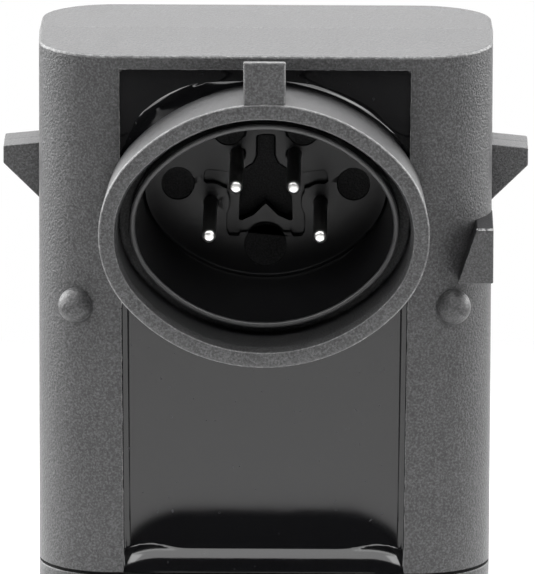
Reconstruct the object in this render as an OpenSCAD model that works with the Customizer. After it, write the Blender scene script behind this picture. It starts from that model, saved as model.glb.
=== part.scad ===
// Right-angle ultrasonic parking sensor.
// The membrane face looks down and its centre is the origin; the plug socket looks along -Y.

/* [Casing] */
// Width of the casing at its parting line
casing_w = 23; // [21:0.1:28]
// Depth of the casing, front to back
casing_d = 13.4; // [12.4:0.1:16]
// Height of the casing's front edge above the head seam
casing_h = 26.7; // [26:0.1:34]
// Radius of the casing's upright corners
corner_r = 3.8; // [2.8:0.1:4.6]
// Wall of the casing
casing_wall = 1.2; // [0.9:0.05:1.6]
// Thickness of the casing's top
casing_top = 0.7; // [0.5:0.05:1.2]
// Draft of the casing each side of its parting line, in degrees
casing_draft = 1; // [0.2:0.1:2]
// Width of the front window at its top; it is open at the seam
window_w = 14.7; // [13:0.1:15.8]
// Narrowing of the window at each side from its top to the seam
window_taper = 0.25; // [0:0.05:0.4]
// Width of each rail that the circuit board stands against
rail_w = 1.4; // [1.2:0.1:2]

/* [Fixings] */
// Reach of each snap wing from the casing's flank
wing_reach = 1.8; // [1:0.1:2.5]
// Depth of each snap wing, front to back
wing_depth = 3.1; // [2:0.1:5]
// Height of a wing where it leaves the casing
wing_root_h = 2.9; // [2:0.1:4]
// Height of a wing's upright outer edge
wing_tip_h = 0.9; // [0.4:0.1:1.4]
// Fall of the wing's upper face towards its outer edge
wing_fall = 0.24; // [0:0.02:0.5]
// Drop from the casing's front edge to the wings
wing_drop = 5.5; // [2:0.1:9]
// Diameter of the round bump on each front corner
bump_d = 1.82; // [1.2:0.02:2]
// Place of the bumps around the corner, in degrees from the front
bump_angle = 29; // [15:1:50]
// Drop from the casing's front edge to the bumps
bump_drop = 12.95; // [8:0.05:16]
// Width of the corner hook at its foot
hook_foot_w = 1.8; // [1.2:0.05:2.4]
// Width of the corner hook at its top
hook_top_w = 0.85; // [0.5:0.05:1.1]
// Height of the corner hook
hook_h = 2.8; // [2:0.1:4]
// Drop from the casing's front edge to the hook
hook_drop = 8.65; // [6:0.05:12]
// Reach of the hook in front of the casing's face
hook_reach = 0.9; // [0.4:0.1:1.6]

/* [Shroud] */
// Width of the oval shroud at its rim
shroud_w = 16.54; // [16:0.02:18]
// Height of the oval shroud at its rim
shroud_h = 13.46; // [12.6:0.02:14.2]
// Reach of the rim in front of the casing's face
shroud_reach = 5.4; // [4.8:0.1:7]
// Length of the neck inside the casing
neck_l = 3.6; // [2.4:0.1:4.6]
// Drop from the casing's front edge to the shroud's axis
shroud_drop = 8.1; // [7.9:0.05:9]
// Width of the flat rim
rim_w = 0.78; // [0.6:0.02:0.9]
// Width of the bevel inside the rim
bevel_w = 0.15; // [0.05:0.01:0.2]
// Depth of the bevel inside the rim
bevel_depth = 0.65; // [0.3:0.05:1.2]
// Narrowing of the shroud from its rim to the casing's face
shroud_taper = 0.2; // [0:0.02:0.3]
// Depth of the groove floor behind the rim
groove_depth = 4.2; // [3:0.1:4.6]
// Width of the key tab on the shroud
key_w = 2.1; // [1.4:0.1:3]
// Height of the key tab above the shroud
key_h = 2.1; // [1:0.1:3]
// Thickness of the key tab at its top
key_top_l = 0.45; // [0.3:0.05:1]
// Length of the key tab at its foot
key_foot_l = 3; // [1.5:0.1:4.4]

/* [Pin carrier] */
// Inset of the carrier's sleeve from the shroud's outline
sleeve_inset = 1.52; // [1.4:0.02:1.7]
// Thickness of the sleeve's lip
sleeve_lip = 0.28; // [0.2:0.02:0.5]
// Growth of the sleeve's wall from its lip to the socket floor
sleeve_draft = 0.3; // [0:0.02:0.4]
// Depth of the sleeve's lip behind the rim
lip_depth = 2.4; // [1:0.1:2.8]
// Depth of the socket floor behind the rim
floor_depth = 12.2; // [11:0.1:12.6]
// Thickness of the socket floor
floor_t = 2.3; // [1.8:0.1:2.6]
// Length of the collar behind the shroud's neck
collar_l = 0.8; // [0.5:0.1:1.4]
// Overlap of the collar on the neck's end
collar_w = 0.6; // [0.3:0.05:0.8]
// Depth of the cored recess in the floor
recess_depth = 1.5; // [0.9:0.1:1.6]
// Depth of the arms and legs beside the recess's core
channel_depth = 0.5; // [0.3:0.05:0.7]
// Depth of the shelf at the foot of the core
shelf_depth = 0.3; // [0.1:0.05:0.6]
// Depth of the round ejector marks in the floor
mark_depth = 0.12; // [0.05:0.01:0.3]
// Diameter of the four smaller marks
mark_d = 1.64; // [1:0.02:1.8]
// Diameter of the lower mark
low_mark_d = 2.12; // [1.4:0.02:2.2]

/* [Contact pins] */
// Diameter of a contact pin
pin_d = 0.7; // [0.5:0.02:0.9]
// Depth of the pin tips behind the rim
tip_depth = 4; // [3:0.1:6]
// Spacing of the upper two pins
upper_pitch = 2.9; // [2.4:0.05:3.6]
// Spacing of the lower two pins
lower_pitch = 5.58; // [4.8:0.02:6]
// Height of the upper pins above the socket's axis
upper_rise = 1.65; // [1.2:0.05:2]
// Fall of the lower pins below the socket's axis
lower_fall = 0.87; // [0.6:0.01:1.2]
// Length of a pin's tail behind the circuit board
tail_l = 0.55; // [0.3:0.05:0.8]

/* [Potting] */
// Drop of the potting below the casing's face
potting_drop = 0.85; // [0.75:0.05:0.95]
// Radius of the lip's crest
crest_r = 2.4; // [1.8:0.1:2.6]
// Tilt of the crest where the hollow begins
crest_tilt = 38; // [34:1:40]
// Tilt of the lip's face at the seam
foot_tilt = 5; // [2:1:8]
// Tilt of the hollow where it meets the crest
hollow_tilt = 21; // [18:1:26]
// Corner radius of the lip, seen from the front
lip_corner_r = 2.1; // [1.8:0.1:3.2]
// Distance of the lip's corner centres from the window's edges at the seam
lip_corner_in = 1.85; // [1.4:0.05:2.4]
// Thickness of the potting over the dam
dam_skin = 0.75; // [0.7:0.05:0.9]

/* [Head] */
// Height of the seam above the membrane face
head_h = 12; // [11.6:0.1:16]
// Outer diameter of the round head
barrel_d = 20.5; // [20.2:0.1:24]
// Height of the plinth under the seam
plinth_h = 2.6; // [2:0.1:3.2]
// Height of the barrel's front edge above the membrane face
barrel_front = 2.4; // [1.6:0.1:3.2]
// Bevel on the barrel's front edge
barrel_bevel = 0.3; // [0.1:0.05:0.4]
// Narrowing of the shoulder between barrel and plinth
shoulder_w = 1.6; // [0.8:0.1:2.2]
// Height of the spigot inside the casing
spigot_h = 1.6; // [1:0.1:2]
// Width of the passage through the spigot
passage_w = 15; // [12:0.1:16]
// Wall of the spigot, front and back
spigot_wall = 1; // [0.7:0.1:1.4]
// Height of the dam across the foot of the window
dam_h = 0.5; // [0.3:0.05:0.6]
// Clearance of dam and neck in the window
window_clearance = 0.1; // [0.05:0.01:0.2]
// Width of the groove at the seam
seam_w = 0.16; // [0.08:0.02:0.3]

/* [Transducer] */
// Diameter of the membrane cup
cup_d = 15.5; // [14:0.1:15.8]
// Depth of the membrane cup
cup_h = 8.4; // [7:0.1:8.8]
// Thickness of the membrane
membrane_t = 0.7; // [0.5:0.05:1]
// Wall of the membrane cup
cup_wall = 1.6; // [1.2:0.1:2]
// Round of the membrane's outer edge
cup_round = 0.4; // [0.2:0.05:0.6]
// Depth of the retaining groove in the cup's wall
cup_groove = 0.4; // [0.2:0.05:0.6]
// Width of the retaining groove
cup_groove_h = 1.2; // [0.8:0.1:1.8]
// Height of the retaining groove above the membrane face
cup_groove_z = 4.2; // [3:0.1:5.4]
// Wall of the decoupling ring
ring_wall = 1.2; // [0.9:0.1:1.5]
// Height of the decoupling ring's front lip above the membrane face
ring_front = 0.7; // [0.3:0.1:1.2]
// Diameter of the piezo disc
disc_d = 8.6; // [7:0.1:9.4]
// Thickness of the piezo disc
disc_t = 0.6; // [0.4:0.05:0.9]
// Thickness of the damping pad
pad_t = 2.6; // [1.5:0.1:3.4]
// Inner diameter of the support ring
support_bore = 12.4; // [11:0.1:13.4]
// Diameter of a transducer lead
lead_d = 0.5; // [0.3:0.05:0.7]
// Distance of each lead from the axis
lead_x = 2.4; // [1.6:0.1:3.2]
// Height of the leads' bend above the seam
lead_bend_h = 3.4; // [3:0.1:4.2]

/* [Electronics] */
// Gap between the circuit board and the casing's side walls
board_side_gap = 1; // [0.6:0.1:1.1]
// Thickness of the circuit board
board_t = 1; // [0.8:0.1:1.2]
// Gap between the circuit board and the casing's back wall
board_gap = 0.9; // [0.85:0.05:1.2]
// Gap between the circuit board and the spigot
board_foot_gap = 0.5; // [0.2:0.1:1]
// Gap between the circuit board and the casing's top
board_head_gap = 1.2; // [0.6:0.1:2]
// Radius of the circuit board's corners
board_r = 1; // [0.5:0.1:2]
// Side of the driver chip
chip_w = 5; // [4:0.1:6]
// Height of the driver chip
chip_t = 0.9; // [0.6:0.05:1.2]
// Width of the transformer
coil_w = 6.4; // [5:0.1:7]
// Height of the transformer's core along the board
coil_h = 5.6; // [5:0.1:6]
// Gap between the transformer and the column of chip parts beside it
coil_gap = 0.194; // [0.15:0.002:0.4]
// Standing height of the transformer
coil_t = 5; // [4:0.1:6]
// Diameter of the post inside the transformer's core
post_d = 2.3; // [1.6:0.1:2.8]
// Wall of the transformer's core
core_wall = 0.8; // [0.5:0.05:1.1]
// Length of the storage capacitor
store_w = 3.5; // [3:0.1:4]
// Width of the storage capacitor
store_h = 2.6; // [2:0.1:2.8]
// Standing height of the storage capacitor
store_t = 1.9; // [1.2:0.1:2.4]
// Length of a small chip part
part_w = 1.6; // [1:0.1:2]
// Width of a small chip part
part_h = 0.8; // [0.5:0.05:1]
// Length of a chip part's end cap
cap_l = 0.35; // [0.2:0.05:0.5]
// Height of the driver chip's middle above the seam
chip_rise = 8.4; // [8:0.1:8.8]
// Height of the transformer's middle above the seam
coil_rise = 8.2; // [7.8:0.1:8.6]
// Height of the storage capacitor's middle above the seam
store_rise = 3.8; // [3.7:0.1:4.2]
// Height of the row of resistors above the seam
row_rise = 12.2; // [12:0.1:12.6]
// Spacing of the chip parts in their rows
part_pitch = 2.2; // [2:0.05:2.3]

/* [Hidden] */
$fn = 96;
// Overshoot of a cut past the face that it opens
cut = 0.5;

// Casing: its faces, and the corner arcs that its drafted flanks run into
face_y = -casing_d / 2;
seam_z = head_h;
edge_z = seam_z + casing_h;
ridge_z = edge_z + casing_d / 2 * tan(casing_draft);
ceiling_z = edge_z - casing_top;
corner_y = casing_d / 2 - corner_r;
corner_x = casing_w / 2 - corner_y * tan(casing_draft) - corner_r / cos(casing_draft);
cavity_w = casing_w - 2 * casing_wall;
cavity_d = casing_d - 2 * casing_wall;
cavity_r = corner_r - casing_wall;

// Shroud: a four-centre oval, with its end arcs as tight as an ellipse's
oval_a = shroud_w / 2;
oval_b = shroud_h / 2;
end_r = oval_b * oval_b / oval_a;
end_x = oval_a - end_r;
side_r = (end_x * end_x + oval_b * oval_b - end_r * end_r) / (2 * (oval_b - end_r));
side_z = side_r - oval_b;
axis_z = edge_z - shroud_drop;
rim_y = face_y - shroud_reach;
neck_end = shroud_reach + neck_l;
bore_inset = rim_w + bevel_w;
neck_foot = axis_z - oval_b;
neck_w = window_width(neck_foot) - 2 * window_clearance;
floor_inset = sleeve_inset + sleeve_lip + sleeve_draft;
carrier_end = floor_depth + floor_t;
key_top = axis_z + oval_b + key_h;

// Contact pins, as places across the socket, upper left to lower right
PINS = [
  [-upper_pitch / 2, upper_rise], [upper_pitch / 2, upper_rise],
  [-lower_pitch / 2, -lower_fall], [lower_pitch / 2, -lower_fall]
];
// Ejector marks on the socket floor: place and diameter
MARKS = [
  [[-4.47, 0.1], mark_d], [[4.47, 0.1], mark_d],
  [[-1.89, 2.93], mark_d], [[1.89, 2.93], mark_d],
  [[0, -3.1], low_mark_d]
];
// Right halves of the cored recess: the core's neck, bell and foot, and the arm and leg beside it
CORE = [
  [0, 2.6], [0.41, 2.6], [0.41, 1.55], [0.62, 1.1], [1.3, 0.75],
  [1.38, -1.95], [0.6, -1.6], [0.14, -1.12], [0, -1]
];
SHELF = [[0, -0.9], [1.34, -0.9], [1.38, -1.62], [1.46, -2.05], [1.28, -2.4], [0, -2.4]];
ARM = [[0.9, 0.56], [2.94, 0.82], [3.12, 0.68], [3.16, 0.26], [3.02, 0.12], [1.9, -0.14], [0.9, -0.3]];
LEG = [[1.2, 0.2], [1.95, 0], [1.98, -2.3], [1.86, -2.6], [1.42, -2.62], [1.24, -2.34]];
// Bosses that stand in the channels and beside the shelf
boss_r = 1;
low_boss_r = low_mark_d / 2 + 0.08;

// Potting: its lip's crest and hollow, as heights above the axis that the lip's corners turn about
potting_y = face_y + potting_drop;
potting_back = face_y + casing_wall + cut;
crest_y = face_y + crest_r * cos(foot_tilt);
crest_z = seam_z - crest_r * sin(foot_tilt);
crease_y = crest_y - crest_r * cos(crest_tilt);
crease_z = crest_z + crest_r * sin(crest_tilt);
hollow_r = (potting_y - crease_y) / (1 - cos(hollow_tilt));
hollow_y = potting_y - hollow_r;
lip_x = window_width(seam_z) / 2 - lip_corner_in;
lip_z = crease_z - lip_corner_r;
crest_rise = crest_z - lip_z;
hollow_rise = lip_corner_r + hollow_r * sin(hollow_tilt);

// Head and transducer stack
plinth_z = seam_z - plinth_h;
cup_r = cup_d / 2;
bore_r = cup_r + ring_wall;
barrel_r = barrel_d / 2;
lip_r = barrel_r - barrel_bevel;
passage_d = cavity_d - 2 * spigot_wall;
spigot_z = seam_z + spigot_h;
disc_z = membrane_t + disc_t;
pad_z = disc_z + pad_t;
cup_bore = cup_r - cup_wall;
dam_y = face_y + dam_skin;
lead_bend_z = seam_z + lead_bend_h;

// Circuit board and what stands on its front face
board_w = cavity_w - 2 * board_side_gap;
board_back = casing_d / 2 - casing_wall - board_gap;
board_y = board_back - board_t;
board_foot = spigot_z + board_foot_gap;
board_head = ceiling_z - board_head_gap;
tail_y = board_back + tail_l;
chip_place = [-board_w * 0.226, seam_z + chip_rise];
store_place = [-board_w * 0.301, seam_z + store_rise];
row_z = seam_z + row_rise;
row_x = board_w * 0.301;
column_x = board_w * 0.0215;
coil_place = [column_x + part_w / 2 + coil_gap + coil_w / 2, seam_z + coil_rise];
CAPACITORS = [
  [column_x, row_z - part_pitch / 2], [column_x, row_z - part_pitch * 3 / 2],
  [column_x, row_z - part_pitch * 5 / 2], [row_x, seam_z + store_rise]
];
RESISTORS = [
  [-row_x - part_pitch, row_z], [-row_x, row_z], [-row_x + part_pitch, row_z],
  [row_x - part_pitch, row_z], [row_x, row_z]
];

// Sweeps a drawing in the XZ plane from y0 back to y1
module along_y(y0, y1) {
  translate([0, y1, 0])
    rotate([90, 0, 0])
      linear_extrude(y1 - y0)
        children();
}

// Sweeps a drawing in the YZ plane from x0 to x1
module along_x(x0, x1) {
  translate([x0, 0, 0])
    rotate([90, 0, 90])
      linear_extrude(x1 - x0)
        children();
}

// Places what is drawn about the socket's axis; depth counts back from the rim
module at_socket(depth) {
  translate([0, rim_y + depth, axis_z])
    rotate([90, 0, 0])
      children();
}

module rounded_rect(w, d, r) {
  square([w, d - 2 * r], center = true);
  square([w - 2 * r, d], center = true);
  for (x = [-1, 1], y = [-1, 1])
    translate([x * (w / 2 - r), y * (d / 2 - r)])
      circle(r);
}

// Plan of the casing: widest at its parting line, with round corners
module casing_plan() {
  flank_x = corner_x + corner_r * cos(casing_draft);
  flank_y = corner_y + corner_r * sin(casing_draft);
  half = [[casing_w / 2, 0], [flank_x, flank_y], [corner_x, casing_d / 2], [-corner_x, casing_d / 2],
          [-flank_x, flank_y], [-casing_w / 2, 0]];
  polygon(half);
  mirror([0, 1])
    polygon(half);
  for (x = [-1, 1], y = [-1, 1])
    translate([x * corner_x, y * corner_y])
      circle(corner_r);
}

// Width of the window at a height
function window_width(z) = window_w - 2 * window_taper * (ceiling_z - z) / (ceiling_z - seam_z);

// Half width of the oval's flat arcs at an inset, where they run into the end arcs
function join_x(inset) = end_x / (side_r - end_r) * (side_r - inset);

// A solid on the oval between two depths, drawn in by an inset that may change from front to back
module oval_plug(front, back, front_inset, back_inset) {
  length = back - front;
  at_socket(back) {
    for (x = [-1, 1])
      translate([x * end_x, 0, 0])
        cylinder(r1 = end_r - back_inset, r2 = end_r - front_inset, h = length);
    intersection() {
      translate([0, -side_z, 0])
        cylinder(r1 = side_r - back_inset, r2 = side_r - front_inset, h = length);
      translate([0, side_z, 0])
        cylinder(r1 = side_r - back_inset, r2 = side_r - front_inset, h = length);
      rotate([90, 0, 0])
        linear_extrude(shroud_h, center = true)
          polygon([[-join_x(back_inset), 0], [join_x(back_inset), 0],
                   [join_x(front_inset), length], [-join_x(front_inset), length]]);
    }
  }
}

module snap_wing() {
  top = edge_z - wing_drop;
  root = casing_w / 2 - casing_wall / 2;
  tip = casing_w / 2 + wing_reach;
  along_y(-wing_depth / 2, wing_depth / 2)
    polygon([[root, top], [casing_w / 2, top], [tip, top - wing_fall], [tip, top - wing_fall - wing_tip_h],
             [casing_w / 2, top - wing_root_h], [root, top - wing_root_h]]);
}

module corner_hook() {
  right = casing_w / 2;
  top = edge_z - hook_drop;
  along_y(face_y - hook_reach, -corner_y)
    polygon([[right - hook_top_w, top], [right, top], [right, top - hook_h],
             [right - hook_foot_w, top - hook_h]]);
}

module casing_outside() {
  intersection() {
    translate([0, 0, seam_z])
      linear_extrude(ridge_z - seam_z)
        casing_plan();
    along_x(-casing_w, casing_w)
      polygon([[face_y, seam_z], [-face_y, seam_z], [-face_y, edge_z], [0, ridge_z], [face_y, edge_z]]);
  }
  for (side = [0, 1])
    mirror([side, 0, 0]) {
      snap_wing();
      translate([corner_x, -corner_y, edge_z - bump_drop])
        rotate(bump_angle)
          translate([0, -corner_r, 0])
            rotate([90, 0, 0])
              sphere(d = bump_d);
    }
  corner_hook();
}

module casing_cavity() {
  translate([0, 0, seam_z - cut])
    linear_extrude(ceiling_z - seam_z + cut)
      rounded_rect(cavity_w, cavity_d, cavity_r);
}

// What fills the front window between two depths, and below the seam
module front_window(front, back) {
  foot_z = seam_z - cut;
  foot_w = window_width(foot_z);
  translate([0, back, 0])
    rotate([90, 0, 0])
      linear_extrude(back - front)
        polygon([[-foot_w / 2, foot_z], [foot_w / 2, foot_z],
                 [window_w / 2, ceiling_z], [-window_w / 2, ceiling_z]]);
}

// Rails on the casing's back wall, whose front faces the circuit board stands against
module board_rails() {
  rail_end = casing_d / 2 - casing_wall / 2;
  for (side = [0, 1])
    mirror([side, 0, 0])
      translate([cavity_w / 2 - rail_w, board_back, board_foot])
        cube([rail_w, rail_end - board_back, ceiling_z + casing_top / 2 - board_foot]);
}

module casing() {
  color("#4a4a4b") {
    difference() {
      casing_outside();
      casing_cavity();
      front_window(face_y - cut, potting_back);
    }
    intersection() {
      board_rails();
      casing_outside();
    }
  }
}

module key_tab() {
  foot = axis_z + oval_b - rim_w / 2;
  along_x(-key_w / 2, key_w / 2)
    polygon([[rim_y, foot], [rim_y, key_top], [rim_y + key_top_l, key_top], [rim_y + key_foot_l, foot]]);
}

// The part of the shroud that stands in the window and behind it
module shroud_neck() {
  intersection() {
    oval_plug(shroud_reach, neck_end, shroud_taper, shroud_taper);
    translate([-neck_w / 2, face_y, axis_z - shroud_h])
      cube([neck_w, neck_l, 2 * shroud_h]);
  }
}

module connector_shroud() {
  color("#4a4a4b")
    difference() {
      union() {
        oval_plug(0, shroud_reach, 0, shroud_taper);
        shroud_neck();
        key_tab();
      }
      oval_plug(-cut, 0, rim_w, rim_w);
      oval_plug(0, bevel_depth, rim_w, bore_inset);
      oval_plug(bevel_depth, groove_depth, bore_inset, bore_inset);
      oval_plug(groove_depth, neck_end + cut, sleeve_inset, sleeve_inset);
    }
}

// Both halves of an outline that is drawn for the right side
module both_halves(half) {
  polygon(half);
  mirror([1, 0])
    polygon(half);
}

// The recess's core, and the shelf at its foot above the lower boss
module recess_core() {
  at_socket(floor_depth + recess_depth)
    linear_extrude(recess_depth + cut)
      both_halves(CORE);
  at_socket(floor_depth + shelf_depth)
    linear_extrude(shelf_depth + cut)
      difference() {
        both_halves(SHELF);
        translate(MARKS[4][0])
          circle(low_boss_r);
      }
}

// The shallow arms and legs, which run round the lower pins' bosses
module recess_channels() {
  at_socket(floor_depth + channel_depth)
    linear_extrude(channel_depth + cut)
      difference() {
        union() {
          both_halves(ARM);
          both_halves(LEG);
        }
        for (i = [2, 3])
          translate(PINS[i])
            circle(boss_r);
        translate(MARKS[4][0])
          circle(low_boss_r);
      }
}

module carrier_outside() {
  oval_plug(lip_depth, carrier_end, sleeve_inset, sleeve_inset);
  oval_plug(neck_end, neck_end + collar_l, sleeve_inset - collar_w, sleeve_inset - collar_w);
}

module pin_carrier() {
  lip_inset = sleeve_inset + sleeve_lip;
  color("#161617")
    difference() {
      carrier_outside();
      oval_plug(lip_depth - cut, lip_depth, lip_inset, lip_inset);
      oval_plug(lip_depth, floor_depth, lip_inset, floor_inset);
      recess_core();
      recess_channels();
      for (mark = MARKS)
        at_socket(floor_depth + mark_depth)
          translate(mark[0])
            cylinder(d = mark[1], h = mark_depth + cut);
      for (pin = PINS)
        at_socket(carrier_end + cut)
          translate(pin)
            cylinder(d = pin_d, h = floor_t + 2 * cut);
    }
}

module contact_pin(i) {
  color("#d8d8d4")
    translate([PINS[i][0], 0, axis_z + PINS[i][1]]) {
      translate([0, rim_y + tip_depth + pin_d / 2, 0])
        sphere(d = pin_d);
      translate([0, tail_y, 0])
        rotate([90, 0, 0])
          cylinder(d = pin_d, h = tail_y - rim_y - tip_depth - pin_d / 2);
    }
}

// Section of the potting's lip, as height above the axis of its corners and reach to the front
module lip_section() {
  intersection() {
    translate([crest_rise, -crest_y])
      circle(crest_r);
    translate([0, -potting_back])
      square([lip_corner_r, potting_back - face_y + cut]);
  }
  difference() {
    polygon([[crest_rise, -potting_back], [hollow_rise, -potting_back], [hollow_rise, -potting_y],
             [lip_corner_r, -crease_y]]);
    translate([hollow_rise, -hollow_y])
      circle(hollow_r);
  }
}

// One corner of the lip, where its section turns about its axis, as far as the window's edge
module lip_corner() {
  intersection() {
    translate([lip_x, 0, lip_z])
      rotate([90, 0, 0])
        rotate_extrude()
          lip_section();
    front_window(face_y - cut, potting_back);
    translate([lip_x, face_y - cut, seam_z])
      cube([window_w, potting_back - face_y + cut, ceiling_z - seam_z]);
  }
}

// The potting that shows in the window: its flat, and a lip whose corners turn down
module potting_front() {
  intersection() {
    front_window(potting_y, potting_back);
    translate([-window_w, potting_y, seam_z])
      cube([2 * window_w, potting_back - potting_y, ceiling_z - seam_z]);
  }
  along_x(-lip_x, lip_x)
    intersection() {
      translate([0, lip_z])
        rotate(90)
          lip_section();
      translate([face_y - cut, seam_z])
        square([potting_back - face_y + cut, ceiling_z - seam_z]);
    }
  for (side = [0, 1])
    mirror([side, 0, 0])
      lip_corner();
}

module potting_compound() {
  color("#101011")
    difference() {
      union() {
        potting_front();
        translate([0, 0, seam_z])
          linear_extrude(ceiling_z - seam_z)
            rounded_rect(cavity_w, cavity_d, cavity_r);
        translate([-passage_w / 2, -passage_d / 2, plinth_z])
          cube([passage_w, passage_d, plinth_h + cut]);
        translate([0, 0, cup_h])
          cylinder(d = support_bore, h = plinth_z - cup_h);
      }
      spigot_ring();
      dam();
      board_rails();
      shroud_neck();
      carrier_outside();
      board_blank();
      for (i = [0 : 3])
        contact_pin(i);
      for (side = [-1, 1])
        transducer_lead(side);
      solder_joints();
      component_box(chip_place, [chip_w, chip_w, chip_t]);
      component_box(coil_place, [coil_w, coil_h, coil_t]);
      component_box(store_place, [store_w, store_h, store_t]);
      for (place = CAPACITORS)
        chip_part(place);
      for (place = RESISTORS)
        chip_part(place);
    }
}

module spigot_ring() {
  difference() {
    translate([0, 0, seam_z - cut])
      linear_extrude(spigot_h + cut)
        rounded_rect(cavity_w, cavity_d, cavity_r);
    translate([-passage_w / 2, -passage_d / 2, seam_z - 2 * cut])
      cube([passage_w, passage_d, spigot_h + 3 * cut]);
  }
}

module dam() {
  dam_w = window_width(seam_z) - 2 * window_clearance;
  translate([-dam_w / 2, dam_y, seam_z - cut])
    cube([dam_w, casing_wall - dam_skin + spigot_wall / 2, dam_h + cut]);
}

module head_housing() {
  color("#424243") {
    difference() {
      union() {
        translate([0, 0, plinth_z])
          linear_extrude(plinth_h - seam_w)
            casing_plan();
        translate([0, 0, seam_z - seam_w - cut])
          linear_extrude(seam_w + cut)
            intersection() {
              casing_plan();
              rounded_rect(casing_w - 2 * seam_w, casing_d - 2 * seam_w, corner_r - seam_w);
            }
        translate([0, 0, barrel_front])
          rotate_extrude()
            polygon([[0, 0], [lip_r, 0], [barrel_r, barrel_bevel], [barrel_r, plinth_z - barrel_front],
                     [barrel_r - shoulder_w, plinth_z - barrel_front + plinth_h / 2],
                     [0, plinth_z - barrel_front + plinth_h / 2]]);
      }
      translate([0, 0, barrel_front - cut])
        cylinder(r = bore_r, h = plinth_z - barrel_front + cut);
      translate([-passage_w / 2, -passage_d / 2, plinth_z - cut])
        cube([passage_w, passage_d, plinth_h + 2 * cut]);
    }
    spigot_ring();
    dam();
  }
}

module decoupling_ring() {
  groove_top = cup_groove_z + cup_groove_h;
  color("#2c2c2e")
    rotate_extrude()
      polygon([[cup_r, ring_front], [lip_r - cup_round, ring_front], [lip_r, ring_front + cup_round],
               [lip_r, barrel_front], [bore_r, barrel_front], [bore_r, cup_h], [cup_r, cup_h],
               [cup_r, groove_top],
               [cup_r - cup_groove, groove_top], [cup_r - cup_groove, cup_groove_z], [cup_r, cup_groove_z]]);
}

module membrane_cup() {
  groove_top = cup_groove_z + cup_groove_h;
  color("#9fa1a3")
    rotate_extrude() {
      polygon([[0, 0], [cup_r - cup_round, 0], [cup_r, cup_round], [cup_r, cup_groove_z],
               [cup_r - cup_groove, cup_groove_z], [cup_r - cup_groove, groove_top], [cup_r, groove_top],
               [cup_r, cup_h], [cup_bore, cup_h], [cup_bore, membrane_t], [0, membrane_t]]);
      translate([cup_r - cup_round, cup_round])
        circle(cup_round);
    }
}

module piezo_disc() {
  color("#c9b48a")
    translate([0, 0, membrane_t])
      cylinder(d = disc_d, h = disc_t);
}

module damping_pad() {
  color("#6b6256")
    difference() {
      translate([0, 0, membrane_t])
        cylinder(r = cup_bore, h = disc_t + pad_t);
      piezo_disc();
      for (side = [-1, 1])
        transducer_lead(side);
    }
}

module cup_filling() {
  color("#5a5c60")
    difference() {
      translate([0, 0, pad_z])
        cylinder(r = cup_bore, h = cup_h - pad_z);
      for (side = [-1, 1])
        transducer_lead(side);
    }
}

module support_ring() {
  color("#2f3032")
    translate([0, 0, cup_h])
      difference() {
        cylinder(r = bore_r, h = plinth_z - cup_h);
        translate([0, 0, -cut])
          cylinder(d = support_bore, h = plinth_z - cup_h + 2 * cut);
      }
}

// A lead rises from the disc, turns back and ends behind the circuit board
module transducer_lead(side) {
  color("#b8743c")
    translate([side * lead_x, 0, 0]) {
      translate([0, 0, disc_z])
        cylinder(d = lead_d, h = lead_bend_z - disc_z);
      translate([0, 0, lead_bend_z])
        sphere(d = lead_d);
      translate([0, tail_y, lead_bend_z])
        rotate([90, 0, 0])
          cylinder(d = lead_d, h = tail_y);
    }
}

module board_blank() {
  translate([0, 0, (board_foot + board_head) / 2])
    along_y(board_y, board_back)
      rounded_rect(board_w, board_head - board_foot, board_r);
}

module circuit_board() {
  color("#1f5a38")
    difference() {
      board_blank();
      for (i = [0 : 3])
        contact_pin(i);
      for (side = [-1, 1])
        transducer_lead(side);
    }
}

// A block that stands on the circuit board's front face; size is across, up and out
module component_box(place, size) {
  translate([place[0] - size[0] / 2, board_y - size[2], place[1] - size[1] / 2])
    cube([size[0], size[2], size[1]]);
}

module driver_chip() {
  color("#202022")
    component_box(chip_place, [chip_w, chip_w, chip_t]);
}

// Room in the core for the winding: round above, open below, with a post in its middle
module winding_room() {
  translate([coil_place[0], 0, coil_place[1]])
    along_y(board_y - coil_t + core_wall, board_y)
      difference() {
        union() {
          circle(d = coil_w - 2 * core_wall);
          translate([core_wall - coil_w / 2, -coil_h / 2])
            square([coil_w - 2 * core_wall, coil_h / 2]);
        }
        circle(d = post_d);
      }
}

module transformer_core() {
  color("#3a3634")
    difference() {
      component_box(coil_place, [coil_w, coil_h, coil_t]);
      winding_room();
    }
}

module transformer_winding() {
  color("#b06a34")
    winding_room();
}

module storage_capacitor() {
  color("#b8862e")
    component_box(store_place, [store_w, store_h, store_t]);
}

// A small chip part: a ceramic body between two end caps
module chip_part(place) {
  component_box(place, [part_w - 2 * cap_l, part_h * 0.92, part_h * 0.92]);
  for (side = [-1, 1])
    component_box([place[0] + side * (part_w - cap_l) / 2, place[1]], [cap_l, part_h, part_h]);
}

module chip_capacitors() {
  color("#a08a68")
    for (place = CAPACITORS)
      chip_part(place);
}

module chip_resistors() {
  color("#2a2a2c")
    for (place = RESISTORS)
      chip_part(place);
}

// A cone of solder behind the board, round a pin or lead
module solder_cone(place, d) {
  translate([place[0], board_back, place[1]])
    rotate([-90, 0, 0])
      difference() {
        cylinder(d1 = 2.2 * d, d2 = 1.3 * d, h = tail_l * 0.7);
        translate([0, 0, -cut])
          cylinder(d = d, h = tail_l + 2 * cut);
      }
}

module solder_joints() {
  color("#c4c6c8") {
    for (pin = PINS)
      solder_cone([pin[0], axis_z + pin[1]], pin_d);
    for (side = [-1, 1])
      solder_cone([side * lead_x, lead_bend_z], lead_d);
  }
}

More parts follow.
